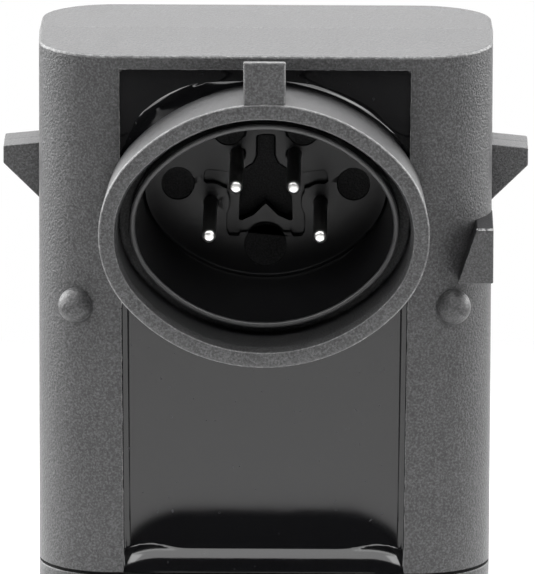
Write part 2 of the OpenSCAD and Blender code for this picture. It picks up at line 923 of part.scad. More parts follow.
casing();
connector_shroud();
pin_carrier();
contact_pin(0);  // contact_pin_1
contact_pin(1);  // contact_pin_2
contact_pin(2);  // contact_pin_3
contact_pin(3);  // contact_pin_4
potting_compound();
head_housing();
decoupling_ring();
membrane_cup();
piezo_disc();
damping_pad();
cup_filling();
support_ring();
transducer_lead(-1);  // transducer_lead_1
transducer_lead(1);  // transducer_lead_2
circuit_board();
driver_chip();
transformer_core();
transformer_winding();
storage_capacitor();
chip_capacitors();
chip_resistors();
solder_joints();
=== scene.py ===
"""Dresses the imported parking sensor: mouldings, poured resin, plated pins and a plain studio."""

import logging
import math
from dataclasses import dataclass, field
from enum import Enum, IntEnum
from typing import Any, Callable, Optional, Sequence, Union

import bmesh
import bpy
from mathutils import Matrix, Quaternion, Vector, noise


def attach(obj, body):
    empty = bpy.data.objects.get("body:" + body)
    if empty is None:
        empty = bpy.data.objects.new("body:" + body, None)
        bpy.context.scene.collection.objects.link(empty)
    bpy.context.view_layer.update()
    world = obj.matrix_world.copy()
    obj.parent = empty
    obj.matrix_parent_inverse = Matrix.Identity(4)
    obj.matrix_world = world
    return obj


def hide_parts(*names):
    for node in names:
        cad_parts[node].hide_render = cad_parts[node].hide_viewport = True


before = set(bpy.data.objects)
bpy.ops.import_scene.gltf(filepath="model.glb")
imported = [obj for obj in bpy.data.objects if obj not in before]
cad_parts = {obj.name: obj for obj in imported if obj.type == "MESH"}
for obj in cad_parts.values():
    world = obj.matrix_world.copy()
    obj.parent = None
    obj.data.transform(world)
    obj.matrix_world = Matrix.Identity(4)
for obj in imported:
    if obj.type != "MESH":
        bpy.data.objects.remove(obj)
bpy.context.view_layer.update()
LOG = logging.getLogger("parking_sensor")

# One millimetre in Blender's metres. Sizes are in millimetres unless a name says otherwise.
MM = 0.001
# Tells one end of a blank from the other, and lets a cutter stand clear of a face.
NEAR = 1.0
# How close a point is to a face or an edge that it lies on.
TOUCH = 0.01
# How close a point is to a plane that it was put on.
LEVEL = 1e-3
# Edges of a blank that rise further than this are its upright ones.
UPRIGHT = 9.0
# In metres: points that are one, points on a cutting plane, and points on the parting plane.
MERGE = 2e-6
CUT_LIMIT = 1e-8
ON_PLANE = 1e-7
# In degrees: faces that are one flat, and half the angle of a corner that needs no round.
FLAT_DEGREES = 0.2
STRAIGHT_DEGREES = 89.0

Piece = bpy.types.Object
Colour = tuple[float, float, float]
Point = tuple[float, float, float]
Flat = tuple[float, float]
# Two coordinates of a corner, and the radius of its round.
Corner = tuple[float, float, float]
EdgeTest = Callable[[bmesh.types.BMEdge], bool]
FaceTest = Callable[[Vector, Vector], bool]

MIDDLE: Point = (0.0, 0.0, 0.0)
ACROSS = Vector((1.0, 0.0, 0.0))
UP = Vector((0.0, 0.0, 1.0))
PIN_SPOTS: Sequence[Flat] = ((-1.45, 1.65), (1.45, 1.65), (-2.79, -0.87), (2.79, -0.87))


class Wire:
    """One output of a shader graph, with arithmetic that adds Math nodes."""

    def __init__(self, graph: "Graph", socket: bpy.types.NodeSocket) -> None:
        """Keeps the graph and the socket that the value comes from."""
        self.graph = graph
        self.socket = socket

    def _math(self, operation: str, left: "Value", right: "Value") -> "Wire":
        """Adds one Math node.

        Args:
            operation: the node's operation.
            left: its first value.
            right: its second value.

        Returns:
            The node's result.
        """
        return self.graph.node("ShaderNodeMath", {"operation": operation}, {0: left, 1: right})

    def __add__(self, other: "Value") -> "Wire":
        """Sum."""
        return self._math("ADD", self, other)

    def __radd__(self, other: "Value") -> "Wire":
        """Sum with a number on the left."""
        return self._math("ADD", other, self)

    def __sub__(self, other: "Value") -> "Wire":
        """Difference."""
        return self._math("SUBTRACT", self, other)

    def __rsub__(self, other: "Value") -> "Wire":
        """Difference from a number on the left."""
        return self._math("SUBTRACT", other, self)

    def __mul__(self, other: "Value") -> "Wire":
        """Product."""
        return self._math("MULTIPLY", self, other)

    def __rmul__(self, other: "Value") -> "Wire":
        """Product with a number on the left."""
        return self._math("MULTIPLY", other, self)

    def __abs__(self) -> "Wire":
        """Size without its sign."""
        return self._math("ABSOLUTE", self, 0.0)


Value = Union[Wire, float]


class Graph:
    """The node graph of one material, or of the world."""

    def __init__(self, tree: bpy.types.NodeTree) -> None:
        """Empties the tree."""
        self.tree = tree
        self.tree.nodes.clear()

    def node(
        self,
        kind: str,
        settings: Optional[dict[str, Any]] = None,
        sockets: Optional[dict[Union[int, str], Any]] = None,
        output: Union[int, str] = 0,
    ) -> Wire:
        """Adds a node.

        Args:
            kind: the node's type.
            settings: its own settings, set first; "stops" are a ramp's places and colours.
            sockets: a value or a wire for each input that isn't left as it is.
            output: the output that the wire comes from.

        Returns:
            The wire of that output.
        """
        made = self.tree.nodes.new(kind)
        for name, value in (settings or {}).items():
            if name == "stops":
                self._ramp(made.color_ramp, value)
            else:
                setattr(made, name, value)
        for key, value in (sockets or {}).items():
            if isinstance(value, Wire):
                self.tree.links.new(value.socket, made.inputs[key])
            else:
                made.inputs[key].default_value = value
        outputs = made.outputs
        return Wire(self, outputs[output]) if len(outputs) else Wire(self, made.inputs[0])

    @staticmethod
    def _ramp(ramp: bpy.types.ColorRamp, stops: Sequence[tuple[float, float]]) -> None:
        """Sets a grey ramp's stops.

        Args:
            ramp: the ramp.
            stops: place and grey of each stop.
        """
        while len(ramp.elements) < len(stops):
            ramp.elements.new(0.5)
        for element, (place, grey) in zip(ramp.elements, stops):
            element.position = place
            element.color = (grey, grey, grey, 1.0)

    def place(self) -> Wire:
        """The point on the surface, in metres."""
        return self.node("ShaderNodeTexCoord", output="Object")

    def axis(self, name: str) -> Wire:
        """One coordinate of the point on the surface."""
        return self.node("ShaderNodeSeparateXYZ", sockets={"Vector": self.place()}, output=name)

    def noise(self, size_mm: float, detail: float = 2.0, roughness: float = 0.5) -> Wire:
        """Cloudy noise.

        Args:
            size_mm: the size of its clouds.
            detail: how many finer layers it has.
            roughness: how strong the finer layers are.

        Returns:
            A value about 0.5.
        """
        return self.node(
            "ShaderNodeTexNoise",
            sockets={
                "Vector": self.place(),
                "Scale": 1.0 / (size_mm * MM),
                "Detail": detail,
                "Roughness": roughness,
            },
        )

    def cells(self, size_mm: float) -> Wire:
        """Distance from the middle of scattered cells, as in an eroded mould's grain."""
        return self.node(
            "ShaderNodeTexVoronoi",
            {"feature": "SMOOTH_F1"},
            {"Vector": self.place(), "Scale": 1.0 / (size_mm * MM), "Smoothness": 0.6},
        )

    def band(self, value: Wire, low: float, high: float) -> Wire:
        """A value from 0 below low to 1 above high."""
        return self.node(
            "ShaderNodeMapRange",
            {"interpolation_type": "SMOOTHSTEP"},
            {"Value": value, "From Min": low, "From Max": high},
        )

    def tint(self, factor: Value, low: Colour, high: Colour) -> Wire:
        """A colour between two others."""
        return self.node(
            "ShaderNodeMix",
            {"data_type": "RGBA"},
            {0: factor, 6: (*low, 1.0), 7: (*high, 1.0)},
            2,
        )

    def bump(self, height: Wire, depth_mm: float, strength: float = 1.0) -> Wire:
        """A surface normal from a height between 0 and 1 that stands for a depth in millimetres."""
        return self.node(
            "ShaderNodeBump",
            sockets={"Height": height, "Distance": depth_mm * MM, "Strength": strength},
        )


def dimmed(colour: Colour, share: float) -> Colour:
    """A colour times a number."""
    return tuple(channel * share for channel in colour)


@dataclass(frozen=True)
class Finish:
    """A finish: what every surface has, and the slot of the record that it belongs to."""

    name: str
    slot: str
    colour: Colour
    rough: float = 0.5
    metal: float = 0.0
    specular: float = 0.5

    def material(self) -> bpy.types.Material:
        """Makes the material once.

        Returns:
            The material.
        """
        made = bpy.data.materials.get(self.name)
        if made is None:
            made = bpy.data.materials.new(self.name)
            made.use_nodes = True
            graph = Graph(made.node_tree)
            sockets = {
                "Base Color": (*self.colour, 1.0),
                "Roughness": self.rough,
                "Metallic": self.metal,
                "Specular IOR Level": self.specular,
            }
            sockets.update(self.varied(graph))
            shader = graph.node("ShaderNodeBsdfPrincipled", sockets=sockets)
            graph.node("ShaderNodeOutputMaterial", sockets={"Surface": shader})
        return made

    def varied(self, graph: Graph) -> dict[str, Any]:
        """Works out what changes over the surface.

        Args:
            graph: the material's graph.

        Returns:
            Values and wires for the shader's sockets.
        """
        cloud = graph.noise(size_mm=0.8, detail=3.0)
        return {
            "Base Color": graph.tint(cloud, dimmed(self.colour, 0.85), dimmed(self.colour, 1.15)),
            "Roughness": self.rough + (cloud - 0.5) * 0.1,
            "Normal": graph.bump(graph.noise(size_mm=0.2), depth_mm=0.006, strength=0.5),
        }


@dataclass(frozen=True)
class Moulded(Finish):
    """Matte moulded plastic with the fine grain of an eroded mould."""

    grain_mm: float = 0.13
    depth_mm: float = 0.028

    def varied(self, graph: Graph) -> dict[str, Any]:
        """Adds grain, faint flow clouds and rubbed patches.

        Args:
            graph: the material's graph.

        Returns:
            Values and wires for the shader's sockets.
        """
        grain = graph.cells(self.grain_mm)
        fine = graph.noise(self.grain_mm * 0.8, roughness=0.6)
        flow = graph.noise(size_mm=4.0, detail=3.0)
        speck = graph.band(fine, low=0.35, high=0.75)
        tone = flow * 0.2 + speck * 0.7 + grain * 0.3
        return {
            "Base Color": graph.tint(tone, dimmed(self.colour, 0.15), dimmed(self.colour, 2.0)),
            "Roughness": self.rough + (flow - 0.5) * 0.08 + (fine - 0.5) * 0.2,
            "Normal": graph.bump(grain * 0.6 + fine * 0.8, self.depth_mm),
        }


@dataclass(frozen=True)
class WornWithPaintedHighlight(Moulded):
    """A moulded edge with light crumbs: partly wear and flash, partly a painted highlight."""

    light: Colour = (0.13, 0.13, 0.13)

    def varied(self, graph: Graph) -> dict[str, Any]:
        """Adds light crumbs and streaks to the plain grain: wear, and a painted highlight.

        Args:
            graph: the material's graph.

        Returns:
            Values and wires for the shader's sockets.
        """
        made = super().varied(graph)
        crumb = graph.noise(size_mm=0.22, detail=3.0, roughness=0.7)
        crumbs = graph.band(crumb, low=0.46, high=0.62)
        made["Base Color"] = graph.tint(crumbs, dimmed(self.colour, 1.3), self.light)
        return made


@dataclass(frozen=True)
class Poured(Finish):
    """Glossy resin that set with a faintly wavy skin."""

    wave_mm: float = 2.2
    depth_mm: float = 0.01

    def varied(self, graph: Graph) -> dict[str, Any]:
        """Adds waves, haze and a little dust.

        Args:
            graph: the material's graph.

        Returns:
            Values and wires for the shader's sockets.
        """
        wave = graph.noise(self.wave_mm, detail=1.0)
        haze = graph.noise(size_mm=1.1, detail=3.0)
        dust = graph.band(graph.noise(size_mm=0.25, detail=1.0), low=0.74, high=0.8)
        return {
            "Base Color": graph.tint(dust, self.colour, dimmed(self.colour, 5.0)),
            "Roughness": self.rough + (haze - 0.5) * 0.05 + dust * 0.2,
            "Normal": graph.bump(wave, self.depth_mm),
        }


@dataclass(frozen=True)
class Plated(Finish):
    """Metal with a dull bloom, and faint marks where it was cut."""

    mark_mm: float = 0.0012

    def varied(self, graph: Graph) -> dict[str, Any]:
        """Adds bloom in tone and gloss, and fine marks.

        Args:
            graph: the material's graph.

        Returns:
            Values and wires for the shader's sockets.
        """
        bloom = graph.noise(size_mm=0.3, detail=3.0)
        return {
            "Base Color": graph.tint(bloom, dimmed(self.colour, 0.8), dimmed(self.colour, 1.12)),
            "Roughness": self.rough + (bloom - 0.5) * 0.12,
            "Normal": graph.bump(
                graph.noise(size_mm=0.12, detail=1.0), self.mark_mm, strength=0.5
            ),
        }


CASING = Moulded("moulded_casing", "casing", (0.038, 0.038, 0.039), 0.5)
SHROUD = Moulded("moulded_shroud", "shroud", (0.038, 0.038, 0.039), 0.46)
# The hook's top and inner side: a darker, duller casing finish, painted shade.
POLISH_AND_PAINTED_SHADE = Moulded("smooth_face_painted_shade", "casing", (0.02, 0.02, 0.021), 0.6, specular=0.06, depth_mm=0.01)
# The casing's top edge and the rim's rounds: light crumbs of wear, and a painted highlight.
EDGE = WornWithPaintedHighlight("casing_edge_wear_and_highlight", "casing", (0.05, 0.05, 0.051), 0.45)
RIM_WEAR_AND_HIGHLIGHT = WornWithPaintedHighlight("rim_edge_wear_and_highlight", "shroud", (0.05, 0.05, 0.051), 0.4)
# The hook's flash sliver: pale grey crumbs as its painted highlight.
FLASH = WornWithPaintedHighlight("moulding_flash_painted_highlight", "casing", (0.03, 0.03, 0.031), 0.45, light=(0.45, 0.45, 0.45))
HEAD = Moulded("moulded_head", "head", (0.038, 0.038, 0.039), 0.5)
# The head's seam groove is painted near black as its shade.
GROOVE_PAINTED_SHADE = Moulded("groove_painted_shade", "head", (0.006, 0.006, 0.006), 0.8, specular=0.1)
CARRIER = Finish("polished_carrier", "carrier", (0.013, 0.013, 0.014), 0.24, specular=0.3)
# The sleeve's lip is painted lighter than the carrier as its highlight.
LIP_PAINTED_HIGHLIGHT = Finish("lip_painted_highlight", "carrier", (0.04, 0.04, 0.041), 0.38)
MARK = Moulded(
    "eroded_mark", "carrier", (0.02, 0.02, 0.021), 0.65, specular=0.3, grain_mm=0.1, depth_mm=0.03
)
# The pins' plating is darkened as painted shade, and their rounded tips are painted bright as a
# highlight.
TIN_WITH_PAINTED_SHADE = Plated("pin_plating_painted_shade", "pins", (0.3, 0.3, 0.29), 0.3, 1.0)
TIP_PAINTED_HIGHLIGHT = Plated("pin_tip_painted_highlight", "pins", (0.85, 0.85, 0.83), 0.32, 1.0, mark_mm=0.03)
POTTING = Poured("poured_resin", "potting", (0.004, 0.004, 0.0045), 0.09, specular=0.45)
SILICONE = Finish("satin_silicone", "silicone", (0.045, 0.046, 0.05), 0.6)
MEMBRANE = Finish("primed_aluminium", "membrane", (0.1, 0.102, 0.106), 0.4)
PIEZO = Finish("silvered_ceramic", "piezo", (0.62, 0.5, 0.3), 0.4)
FELT = Finish("pressed_felt", "felt", (0.2, 0.17, 0.13), 0.95)
FILLING = Finish("foamed_silicone", "filling", (0.16, 0.17, 0.19), 0.8)
SUPPORT = Moulded("moulded_support", "support", (0.03, 0.03, 0.032), 0.5)
COPPER = Plated("enamelled_copper", "copper", (0.55, 0.24, 0.1), 0.3, 1.0)
BOARD = Finish("solder_resist", "board", (0.02, 0.1, 0.045), 0.4)
CHIP = Moulded("moulded_epoxy", "chip", (0.018, 0.018, 0.02), 0.5)
FERRITE = Finish("sintered_ferrite", "ferrite", (0.05, 0.045, 0.042), 0.5)
TANTALUM = Finish("tantalum_epoxy", "tantalum", (0.5, 0.27, 0.06), 0.35)
CERAMIC_PART = Finish("tinned_ceramic", "ceramic_part", (0.36, 0.27, 0.16), 0.4)
RESISTOR = Finish("glazed_film", "resistor", (0.03, 0.03, 0.032), 0.3)
SOLDER = Plated("tin_solder", "solder", (0.66, 0.67, 0.68), 0.25, 1.0)


class Edit:
    """Edit mode on one object, entered and left as a block."""

    def __init__(self, piece: Piece, mode: str = "EDGE") -> None:
        """Keeps the object and the kind of element that is selected."""
        self.piece = piece
        self.mode = mode

    def __enter__(self) -> "Edit":
        """Makes the object the only selected one and enters edit mode with nothing selected.

        Returns:
            This block.
        """
        only(self.piece)
        bpy.ops.object.mode_set(mode="EDIT")
        bpy.ops.mesh.select_mode(type=self.mode)
        bpy.ops.mesh.select_all(action="DESELECT")
        return self

    def __exit__(self, *_: Any) -> None:
        """Goes back to object mode."""
        bpy.ops.object.mode_set(mode="OBJECT")

    def all(self) -> None:
        """Selects everything."""
        bpy.ops.mesh.select_all(action="SELECT")

    def outward(self) -> None:
        """Turns every face outwards."""
        self.all()
        bpy.ops.mesh.normals_make_consistent(inside=False)

    def cut(self, point: Sequence[float], normal: Sequence[float], **options: bool) -> None:
        """Cuts everything that isn't hidden along a plane.

        Args:
            point: a point on the plane.
            normal: the plane's normal.
            options: what is done with the parts.
        """
        self.all()
        bpy.ops.mesh.bisect(
            plane_co=[value * MM for value in point],
            plane_no=normal,
            threshold=CUT_LIMIT,
            **options,
        )

    def select(self, test: Callable[[Any], bool]) -> int:
        """Selects the elements that a test picks.

        Args:
            test: takes a vertex, edge or face.

        Returns:
            How many it picked.
        """
        bpy.ops.mesh.select_all(action="DESELECT")
        mesh = bmesh.from_edit_mesh(self.piece.data)
        group = {"VERT": mesh.verts, "EDGE": mesh.edges, "FACE": mesh.faces}[self.mode]
        picked = [element for element in group if test(element)]
        for element in picked:
            element.select_set(True)
        mesh.select_flush_mode()
        bmesh.update_edit_mesh(self.piece.data)
        return len(picked)


def deselect() -> None:
    """Deselects every object."""
    bpy.ops.object.select_all(action="DESELECT")


def only(piece: Piece) -> None:
    """Makes one object the only selected one, and the active one.

    Args:
        piece: the object.
    """
    deselect()
    piece.select_set(True)
    bpy.context.view_layer.objects.active = piece


def settled(name: str) -> Piece:
    """Names the object that was just added, and puts its place and size into its mesh.

    Args:
        name: its name.

    Returns:
        The object.
    """
    piece = bpy.context.object
    piece.name = name
    bpy.ops.object.transform_apply(location=True, rotation=True, scale=True)
    return piece


def add_box(name: str, low: Point, high: Point) -> Piece:
    """Adds a box between two corners.

    Args:
        name: the object's name.
        low: its lowest corner.
        high: its highest corner.

    Returns:
        The box, with its place in its mesh.
    """
    size = [(b - a) * MM for a, b in zip(low, high)]
    middle = [(a + b) / 2 * MM for a, b in zip(low, high)]
    deselect()
    bpy.ops.mesh.primitive_cube_add(size=1.0, location=middle, scale=size)
    return settled(name)


def add_rod(name: str, foot: Point, radius: float, length: float, sides: int = 64) -> Piece:
    """Adds a round rod along Y.

    Args:
        name: the object's name.
        foot: the middle of its front end.
        radius: its radius.
        length: how far back it goes.
        sides: how many sides it has.

    Returns:
        The rod, with its place in its mesh.
    """
    middle = (foot[0] * MM, (foot[1] + length / 2) * MM, foot[2] * MM)
    deselect()
    bpy.ops.mesh.primitive_cylinder_add(
        vertices=sides,
        radius=radius * MM,
        depth=length * MM,
        location=middle,
        rotation=(math.pi / 2, 0.0, 0.0),
    )
    return settled(name)


def add_loop(name: str, points: Sequence[Point]) -> Piece:
    """Adds a ring of edges through points.

    Args:
        name: the object's name.
        points: the ring's corners in order.

    Returns:
        The ring.
    """
    deselect()
    bpy.ops.mesh.primitive_circle_add(vertices=len(points), radius=MM)
    piece = settled(name)
    for vertex, point in zip(piece.data.vertices, points):
        vertex.co = Vector(point) * MM
    return piece


def add_prism(name: str, outline: Sequence[Flat], front: float, back: float) -> Piece:
    """Adds a prism along Y with an outline in X and Z.

    Args:
        name: the object's name.
        outline: its corners.
        front: where it begins.
        back: where it ends.

    Returns:
        The prism.
    """
    piece = add_loop(name, [(x, front, z) for x, z in outline])
    with Edit(piece) as edit:
        edit.all()
        bpy.ops.mesh.edge_face_add()
        bpy.ops.mesh.extrude_region_move(
            TRANSFORM_OT_translate={"value": (0.0, (back - front) * MM, 0.0)}
        )
        edit.outward()
    return piece


def rounded(corners: Sequence[Corner], steps: int = 4) -> list[Flat]:
    """Rounds the corners of a closed outline.

    Args:
        corners: each corner's two coordinates and the radius of its round.
        steps: how many edges a round has.

    Returns:
        The outline with its rounds.
    """
    outline: list[Flat] = []
    for index, (x, y, radius) in enumerate(corners):
        here = Vector((x, y))
        before = (Vector(corners[index - 1][:2]) - here).normalized()
        after = (Vector(corners[(index + 1) % len(corners)][:2]) - here).normalized()
        half = before.angle(after, math.pi) / 2
        if radius <= 0 or half > math.radians(STRAIGHT_DEGREES):
            outline.append((x, y))
            continue
        middle = here + (before + after).normalized() * (radius / math.sin(half))
        first = here + before * (radius / math.tan(half)) - middle
        last = here + after * (radius / math.tan(half)) - middle
        sweep = first.angle_signed(last)
        for step in range(steps + 1):
            turn = -sweep * step / steps
            x = first.x * math.cos(turn) - first.y * math.sin(turn)
            y = first.x * math.sin(turn) + first.y * math.cos(turn)
            outline.append(tuple(middle + Vector((x, y))))
    return outline


class Join(Enum):
    """What a boolean modifier does."""

    ADD = "UNION"
    CUT = "DIFFERENCE"
    KEEP = "INTERSECT"


def combine(piece: Piece, tool: Piece, join: Join) -> None:
    """Joins a tool to a piece, or cuts the piece with it, and deletes the tool.

    Args:
        piece: the piece that stays.
        tool: the object that is used up.
        join: what is done.
    """
    only(piece)
    modifier = piece.modifiers.new("combine", "BOOLEAN")
    modifier.operation = join.value
    modifier.solver = "EXACT"
    modifier.object = tool
    bpy.ops.object.modifier_apply(modifier=modifier.name)
    bpy.data.objects.remove(tool)


def merged(pieces: Sequence[Piece]) -> Piece:
    """Makes several objects one, without cutting them.

    Args:
        pieces: the objects.

    Returns:
        The first of them, which holds them all.
    """
    deselect()
    for piece in pieces:
        piece.select_set(True)
    bpy.context.view_layer.objects.active = pieces[0]
    bpy.ops.object.join()
    return pieces[0]


def bevel(piece: Piece, width: float, segments: int, test: EdgeTest) -> None:
    """Rounds the edges that a test picks.

    Args:
        piece: the piece.
        width: width of the round.
        segments: how many faces it has.
        test: takes an edge.
    """
    with Edit(piece) as edit:
        if edit.select(test):
            bpy.ops.mesh.bevel(
                offset=width * MM, segments=segments, profile=0.5, clamp_overlap=False
            )


def middle(edge: bmesh.types.BMEdge) -> Vector:
    """The middle of an edge, in millimetres."""
    return (edge.verts[0].co + edge.verts[1].co) / (2 * MM)


def sharp(edge: bmesh.types.BMEdge, degrees: float = 30.0) -> bool:
    """Whether an edge's two faces meet at more than an angle."""
    return len(edge.link_faces) == 2 and edge.calc_face_angle(0.0) > math.radians(degrees)


def upright(edge: bmesh.types.BMEdge) -> bool:
    """Whether an edge is one of a blank's upright ones."""
    return abs(edge.verts[0].co.z - edge.verts[1].co.z) > UPRIGHT * MM


def mirrored(piece: Piece) -> None:
    """Mirrors a piece in the middle plane, with its faces turned outwards again.

    Args:
        piece: the piece.
    """
    with Edit(piece) as edit:
        edit.all()
        bpy.ops.transform.mirror(constraint_axis=(True, False, False), center_override=MIDDLE)
        edit.outward()


def smooth(piece: Piece, degrees: float = 32.0) -> None:
    """Shades a piece smooth except at sharp edges, with the large faces kept flat.

    Args:
        piece: the piece.
        degrees: the angle from which an edge stays sharp.
    """
    only(piece)
    bpy.ops.object.shade_smooth_by_angle(angle=math.radians(degrees))
    modifier = piece.modifiers.new("weigh", "WEIGHTED_NORMAL")
    modifier.keep_sharp = True
    bpy.ops.object.modifier_apply(modifier=modifier.name)


def dress(piece: Piece, *finishes: Finish) -> None:
    """Gives a piece its finishes.

    Args:
        piece: the piece.
        finishes: its finishes, the main one first.
    """
    piece.data.materials.clear()
    for finish in finishes:
        piece.data.materials.append(finish.material())


def paint(piece: Piece, index: int, test: FaceTest) -> None:
    """Gives another of its finishes to the faces that a test picks.

    Args:
        piece: the piece.
        index: which of its finishes.
        test: takes a face's middle and its normal.
    """
    for face in piece.data.polygons:
        if test(face.center / MM, face.normal):
            face.material_index = index


def place(piece: Piece, *nodes: str) -> None:
    """Lets a finished piece ride on the object and stand for its nodes.

    Args:
        piece: the piece.
        nodes: the nodes that it stands for.
    """
    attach(piece, "root")
    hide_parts(*nodes)
    faces = len(piece.data.polygons)
    LOG.info("%s stands for %s with %d faces", piece.name, ", ".join(nodes), faces)


def copied(node: str, name: str) -> Piece:
    """Copies a node's solid as a merged mesh.

    Args:
        node: the node.
        name: the copy's name.

    Returns:
        The copy.
    """
    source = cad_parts[node]
    piece = bpy.data.objects.new(name, source.data.copy())
    bpy.context.collection.objects.link(piece)
    piece.matrix_world = source.matrix_world.copy()
    only(piece)
    bpy.ops.object.transform_apply(location=True, rotation=True, scale=True)
    with Edit(piece) as edit:
        edit.all()
        bpy.ops.mesh.remove_doubles(threshold=MERGE)
        bpy.ops.mesh.dissolve_limited(angle_limit=math.radians(FLAT_DEGREES))
    return piece


class CasingFace(IntEnum):
    """Which of the casing's finishes a face has."""

    PLAIN = 0
    POLISH_AND_PAINTED_SHADE = 1
    RUBBED = 2
    FLASH = 3


@dataclass
class Casing:
    """The casing: walls, top, open-footed window, snap wings, bumps and corner hook."""

    width: float = 23.0
    depth: float = 13.4
    seam: float = 12.0
    edge: float = 38.7
    draft: float = 1.0
    corner: float = 3.8
    wall: float = 1.2
    ceiling: float = 38.0
    window: float = 14.7
    window_taper: float = 0.25
    top_round: float = 0.16
    edge_round: float = 0.08
    wing_reach: float = 1.8
    wing_depth: float = 3.1
    wing_top: float = 33.2
    wing_root: float = 2.9
    wing_tip: float = 0.9
    wing_fall: float = 0.24
    bump_d: float = 1.82
    bump_angle: float = 29.0
    bump_z: float = 25.75
    hook_top: float = 30.05
    hook_h: float = 2.8
    hook_foot: float = 1.8
    hook_width: float = 0.85
    hook_reach: float = 0.9
    rail_w: float = 1.4
    rail_front: float = 4.6
    rail_foot: float = 14.1
    rail_bite: float = 0.2
    groove: float = 0.05
    groove_share: float = 0.6
    parting_band: float = 0.3
    window_round: float = 0.05
    opening_spare: float = 0.4
    free_from: float = 0.2
    corner_faces: int = 24
    room_faces: int = 12
    flash: float = 0.03
    flash_set: float = 0.01
    flash_deep: float = 0.06
    flash_foot: float = 0.1
    side_points: int = 260
    head_points: int = 150
    crest_points: int = 24
    crest_low: Point = (-0.03, -0.02, -0.06)
    crest_high: Point = (-0.02, 0.05, 0.03)
    ragged_scale: float = 4.0
    ragged_share: float = 0.7
    ragged_seed: float = 0.5
    crumb_scale: float = 11.0
    crumb_share: float = 1.6
    crumb_seed: float = 3.0
    worn: float = 0.3
    # How far back and how high the hook's faces are painted dark as shade.
    shade_paint_deep: float = 2.6
    shade_paint_above: float = 0.05
    # Where the top edge's round gets wear and a painted highlight.
    wear_highlight_band: float = 0.3
    wear_highlight_tilt: Flat = (0.2, 0.96)
    wear_highlight_front: float = -0.15
    facing_up: float = 0.85
    facing_in: float = -0.6
    finishes: Sequence[Finish] = (CASING, POLISH_AND_PAINTED_SHADE, EDGE, FLASH)

    def build(self) -> None:
        """Models the casing and dresses it."""
        body = self._body()
        for side in (-1, 1):
            combine(body, self._wing(side), Join.ADD)
            combine(body, self._bump(side), Join.ADD)
        combine(body, self._hook(), Join.ADD)
        combine(body, self._cavity(), Join.CUT)
        combine(body, self._opening(), Join.CUT)
        for side in (-1, 1):
            combine(body, self._rail(side), Join.ADD)
        self._soften(body)
        dress(body, *self.finishes)
        self._touch(body)
        body = merged([body, *self._flash()])
        smooth(body)
        place(body, "casing")

    @property
    def lean(self) -> float:
        """How far the drafted faces lean in between the parting line and the front."""
        return self.depth / 2 * math.tan(math.radians(self.draft))

    def _body(self) -> Piece:
        """Models the block that the casing is cut from, drafted both ways from its parting line.

        Returns:
            The block.
        """
        half_w, half_d = self.width / 2, self.depth / 2
        low, high = (-half_w, -half_d, self.seam), (half_w, half_d, self.edge)
        body = add_box("casing_moulding", low, high)
        with Edit(body, "VERT") as edit:
            edit.cut(MIDDLE, (0, 1, 0))
            edit.select(lambda v: abs(v.co.y) > NEAR * MM)
            narrowed = 1 - self.lean / half_w
            bpy.ops.transform.resize(value=(narrowed, 1, 1), center_override=MIDDLE)
            edit.select(lambda v: abs(v.co.y) < NEAR * MM and v.co.z > self.ceiling * MM)
            bpy.ops.transform.translate(value=(0, 0, self.lean * MM))
        reach = self.corner * math.tan(math.radians(45.0 - self.draft / 2))
        bevel(body, reach, self.corner_faces, lambda e: sharp(e) and upright(e))
        bevel(body, self.top_round, 3, lambda e: sharp(e) and middle(e).z > self.ceiling)
        return body

    def _wing(self, side: int) -> Piece:
        """Models one snap wing, with its foot inside the wall.

        Args:
            side: -1 for the left wing, 1 for the right one.

        Returns:
            The wing.
        """
        root, flank = self.width / 2 - self.wall / 2, self.width / 2
        tip, half = flank + self.wing_reach, self.wing_depth / 2
        slope = (self.wing_root - self.wing_fall - self.wing_tip) / self.wing_reach
        low = self.wing_top - self.wing_root - slope * (flank - root)
        wing = add_box("wing", (root, -half, low), (tip, half, self.wing_top))
        with Edit(wing, "VERT") as edit:
            edit.cut(MIDDLE, (0, 1, 0))
            edit.select(lambda v: v.co.x > flank * MM and v.co.z > (self.wing_top - NEAR) * MM)
            bpy.ops.transform.translate(value=(0, 0, -self.wing_fall * MM))
            edit.select(lambda v: v.co.x > flank * MM and v.co.z < (low + NEAR) * MM)
            rise = self.wing_top - self.wing_fall - self.wing_tip - low
            bpy.ops.transform.translate(value=(0, 0, rise * MM))
        free = root + self.free_from
        bevel(wing, self.edge_round, 2, lambda e: sharp(e) and middle(e).x > free)
        if side < 0:
            mirrored(wing)
        return wing

    def _bump(self, side: int) -> Piece:
        """Models one round bump on a front corner, pole outwards.

        Args:
            side: -1 for the left corner, 1 for the right one.

        Returns:
            The bump.
        """
        lean = math.radians(self.draft)
        corner_y = self.depth / 2 - self.corner
        corner_x = self.width / 2 - corner_y * math.tan(lean) - self.corner / math.cos(lean)
        turn = math.radians(self.bump_angle)
        spot = (
            side * (corner_x + self.corner * math.sin(turn)) * MM,
            -(corner_y + self.corner * math.cos(turn)) * MM,
            self.bump_z * MM,
        )
        deselect()
        bpy.ops.mesh.primitive_uv_sphere_add(
            segments=48,
            ring_count=24,
            radius=self.bump_d / 2 * MM,
            location=spot,
            rotation=(math.pi / 2, 0.0, side * turn),
        )
        return settled("bump")

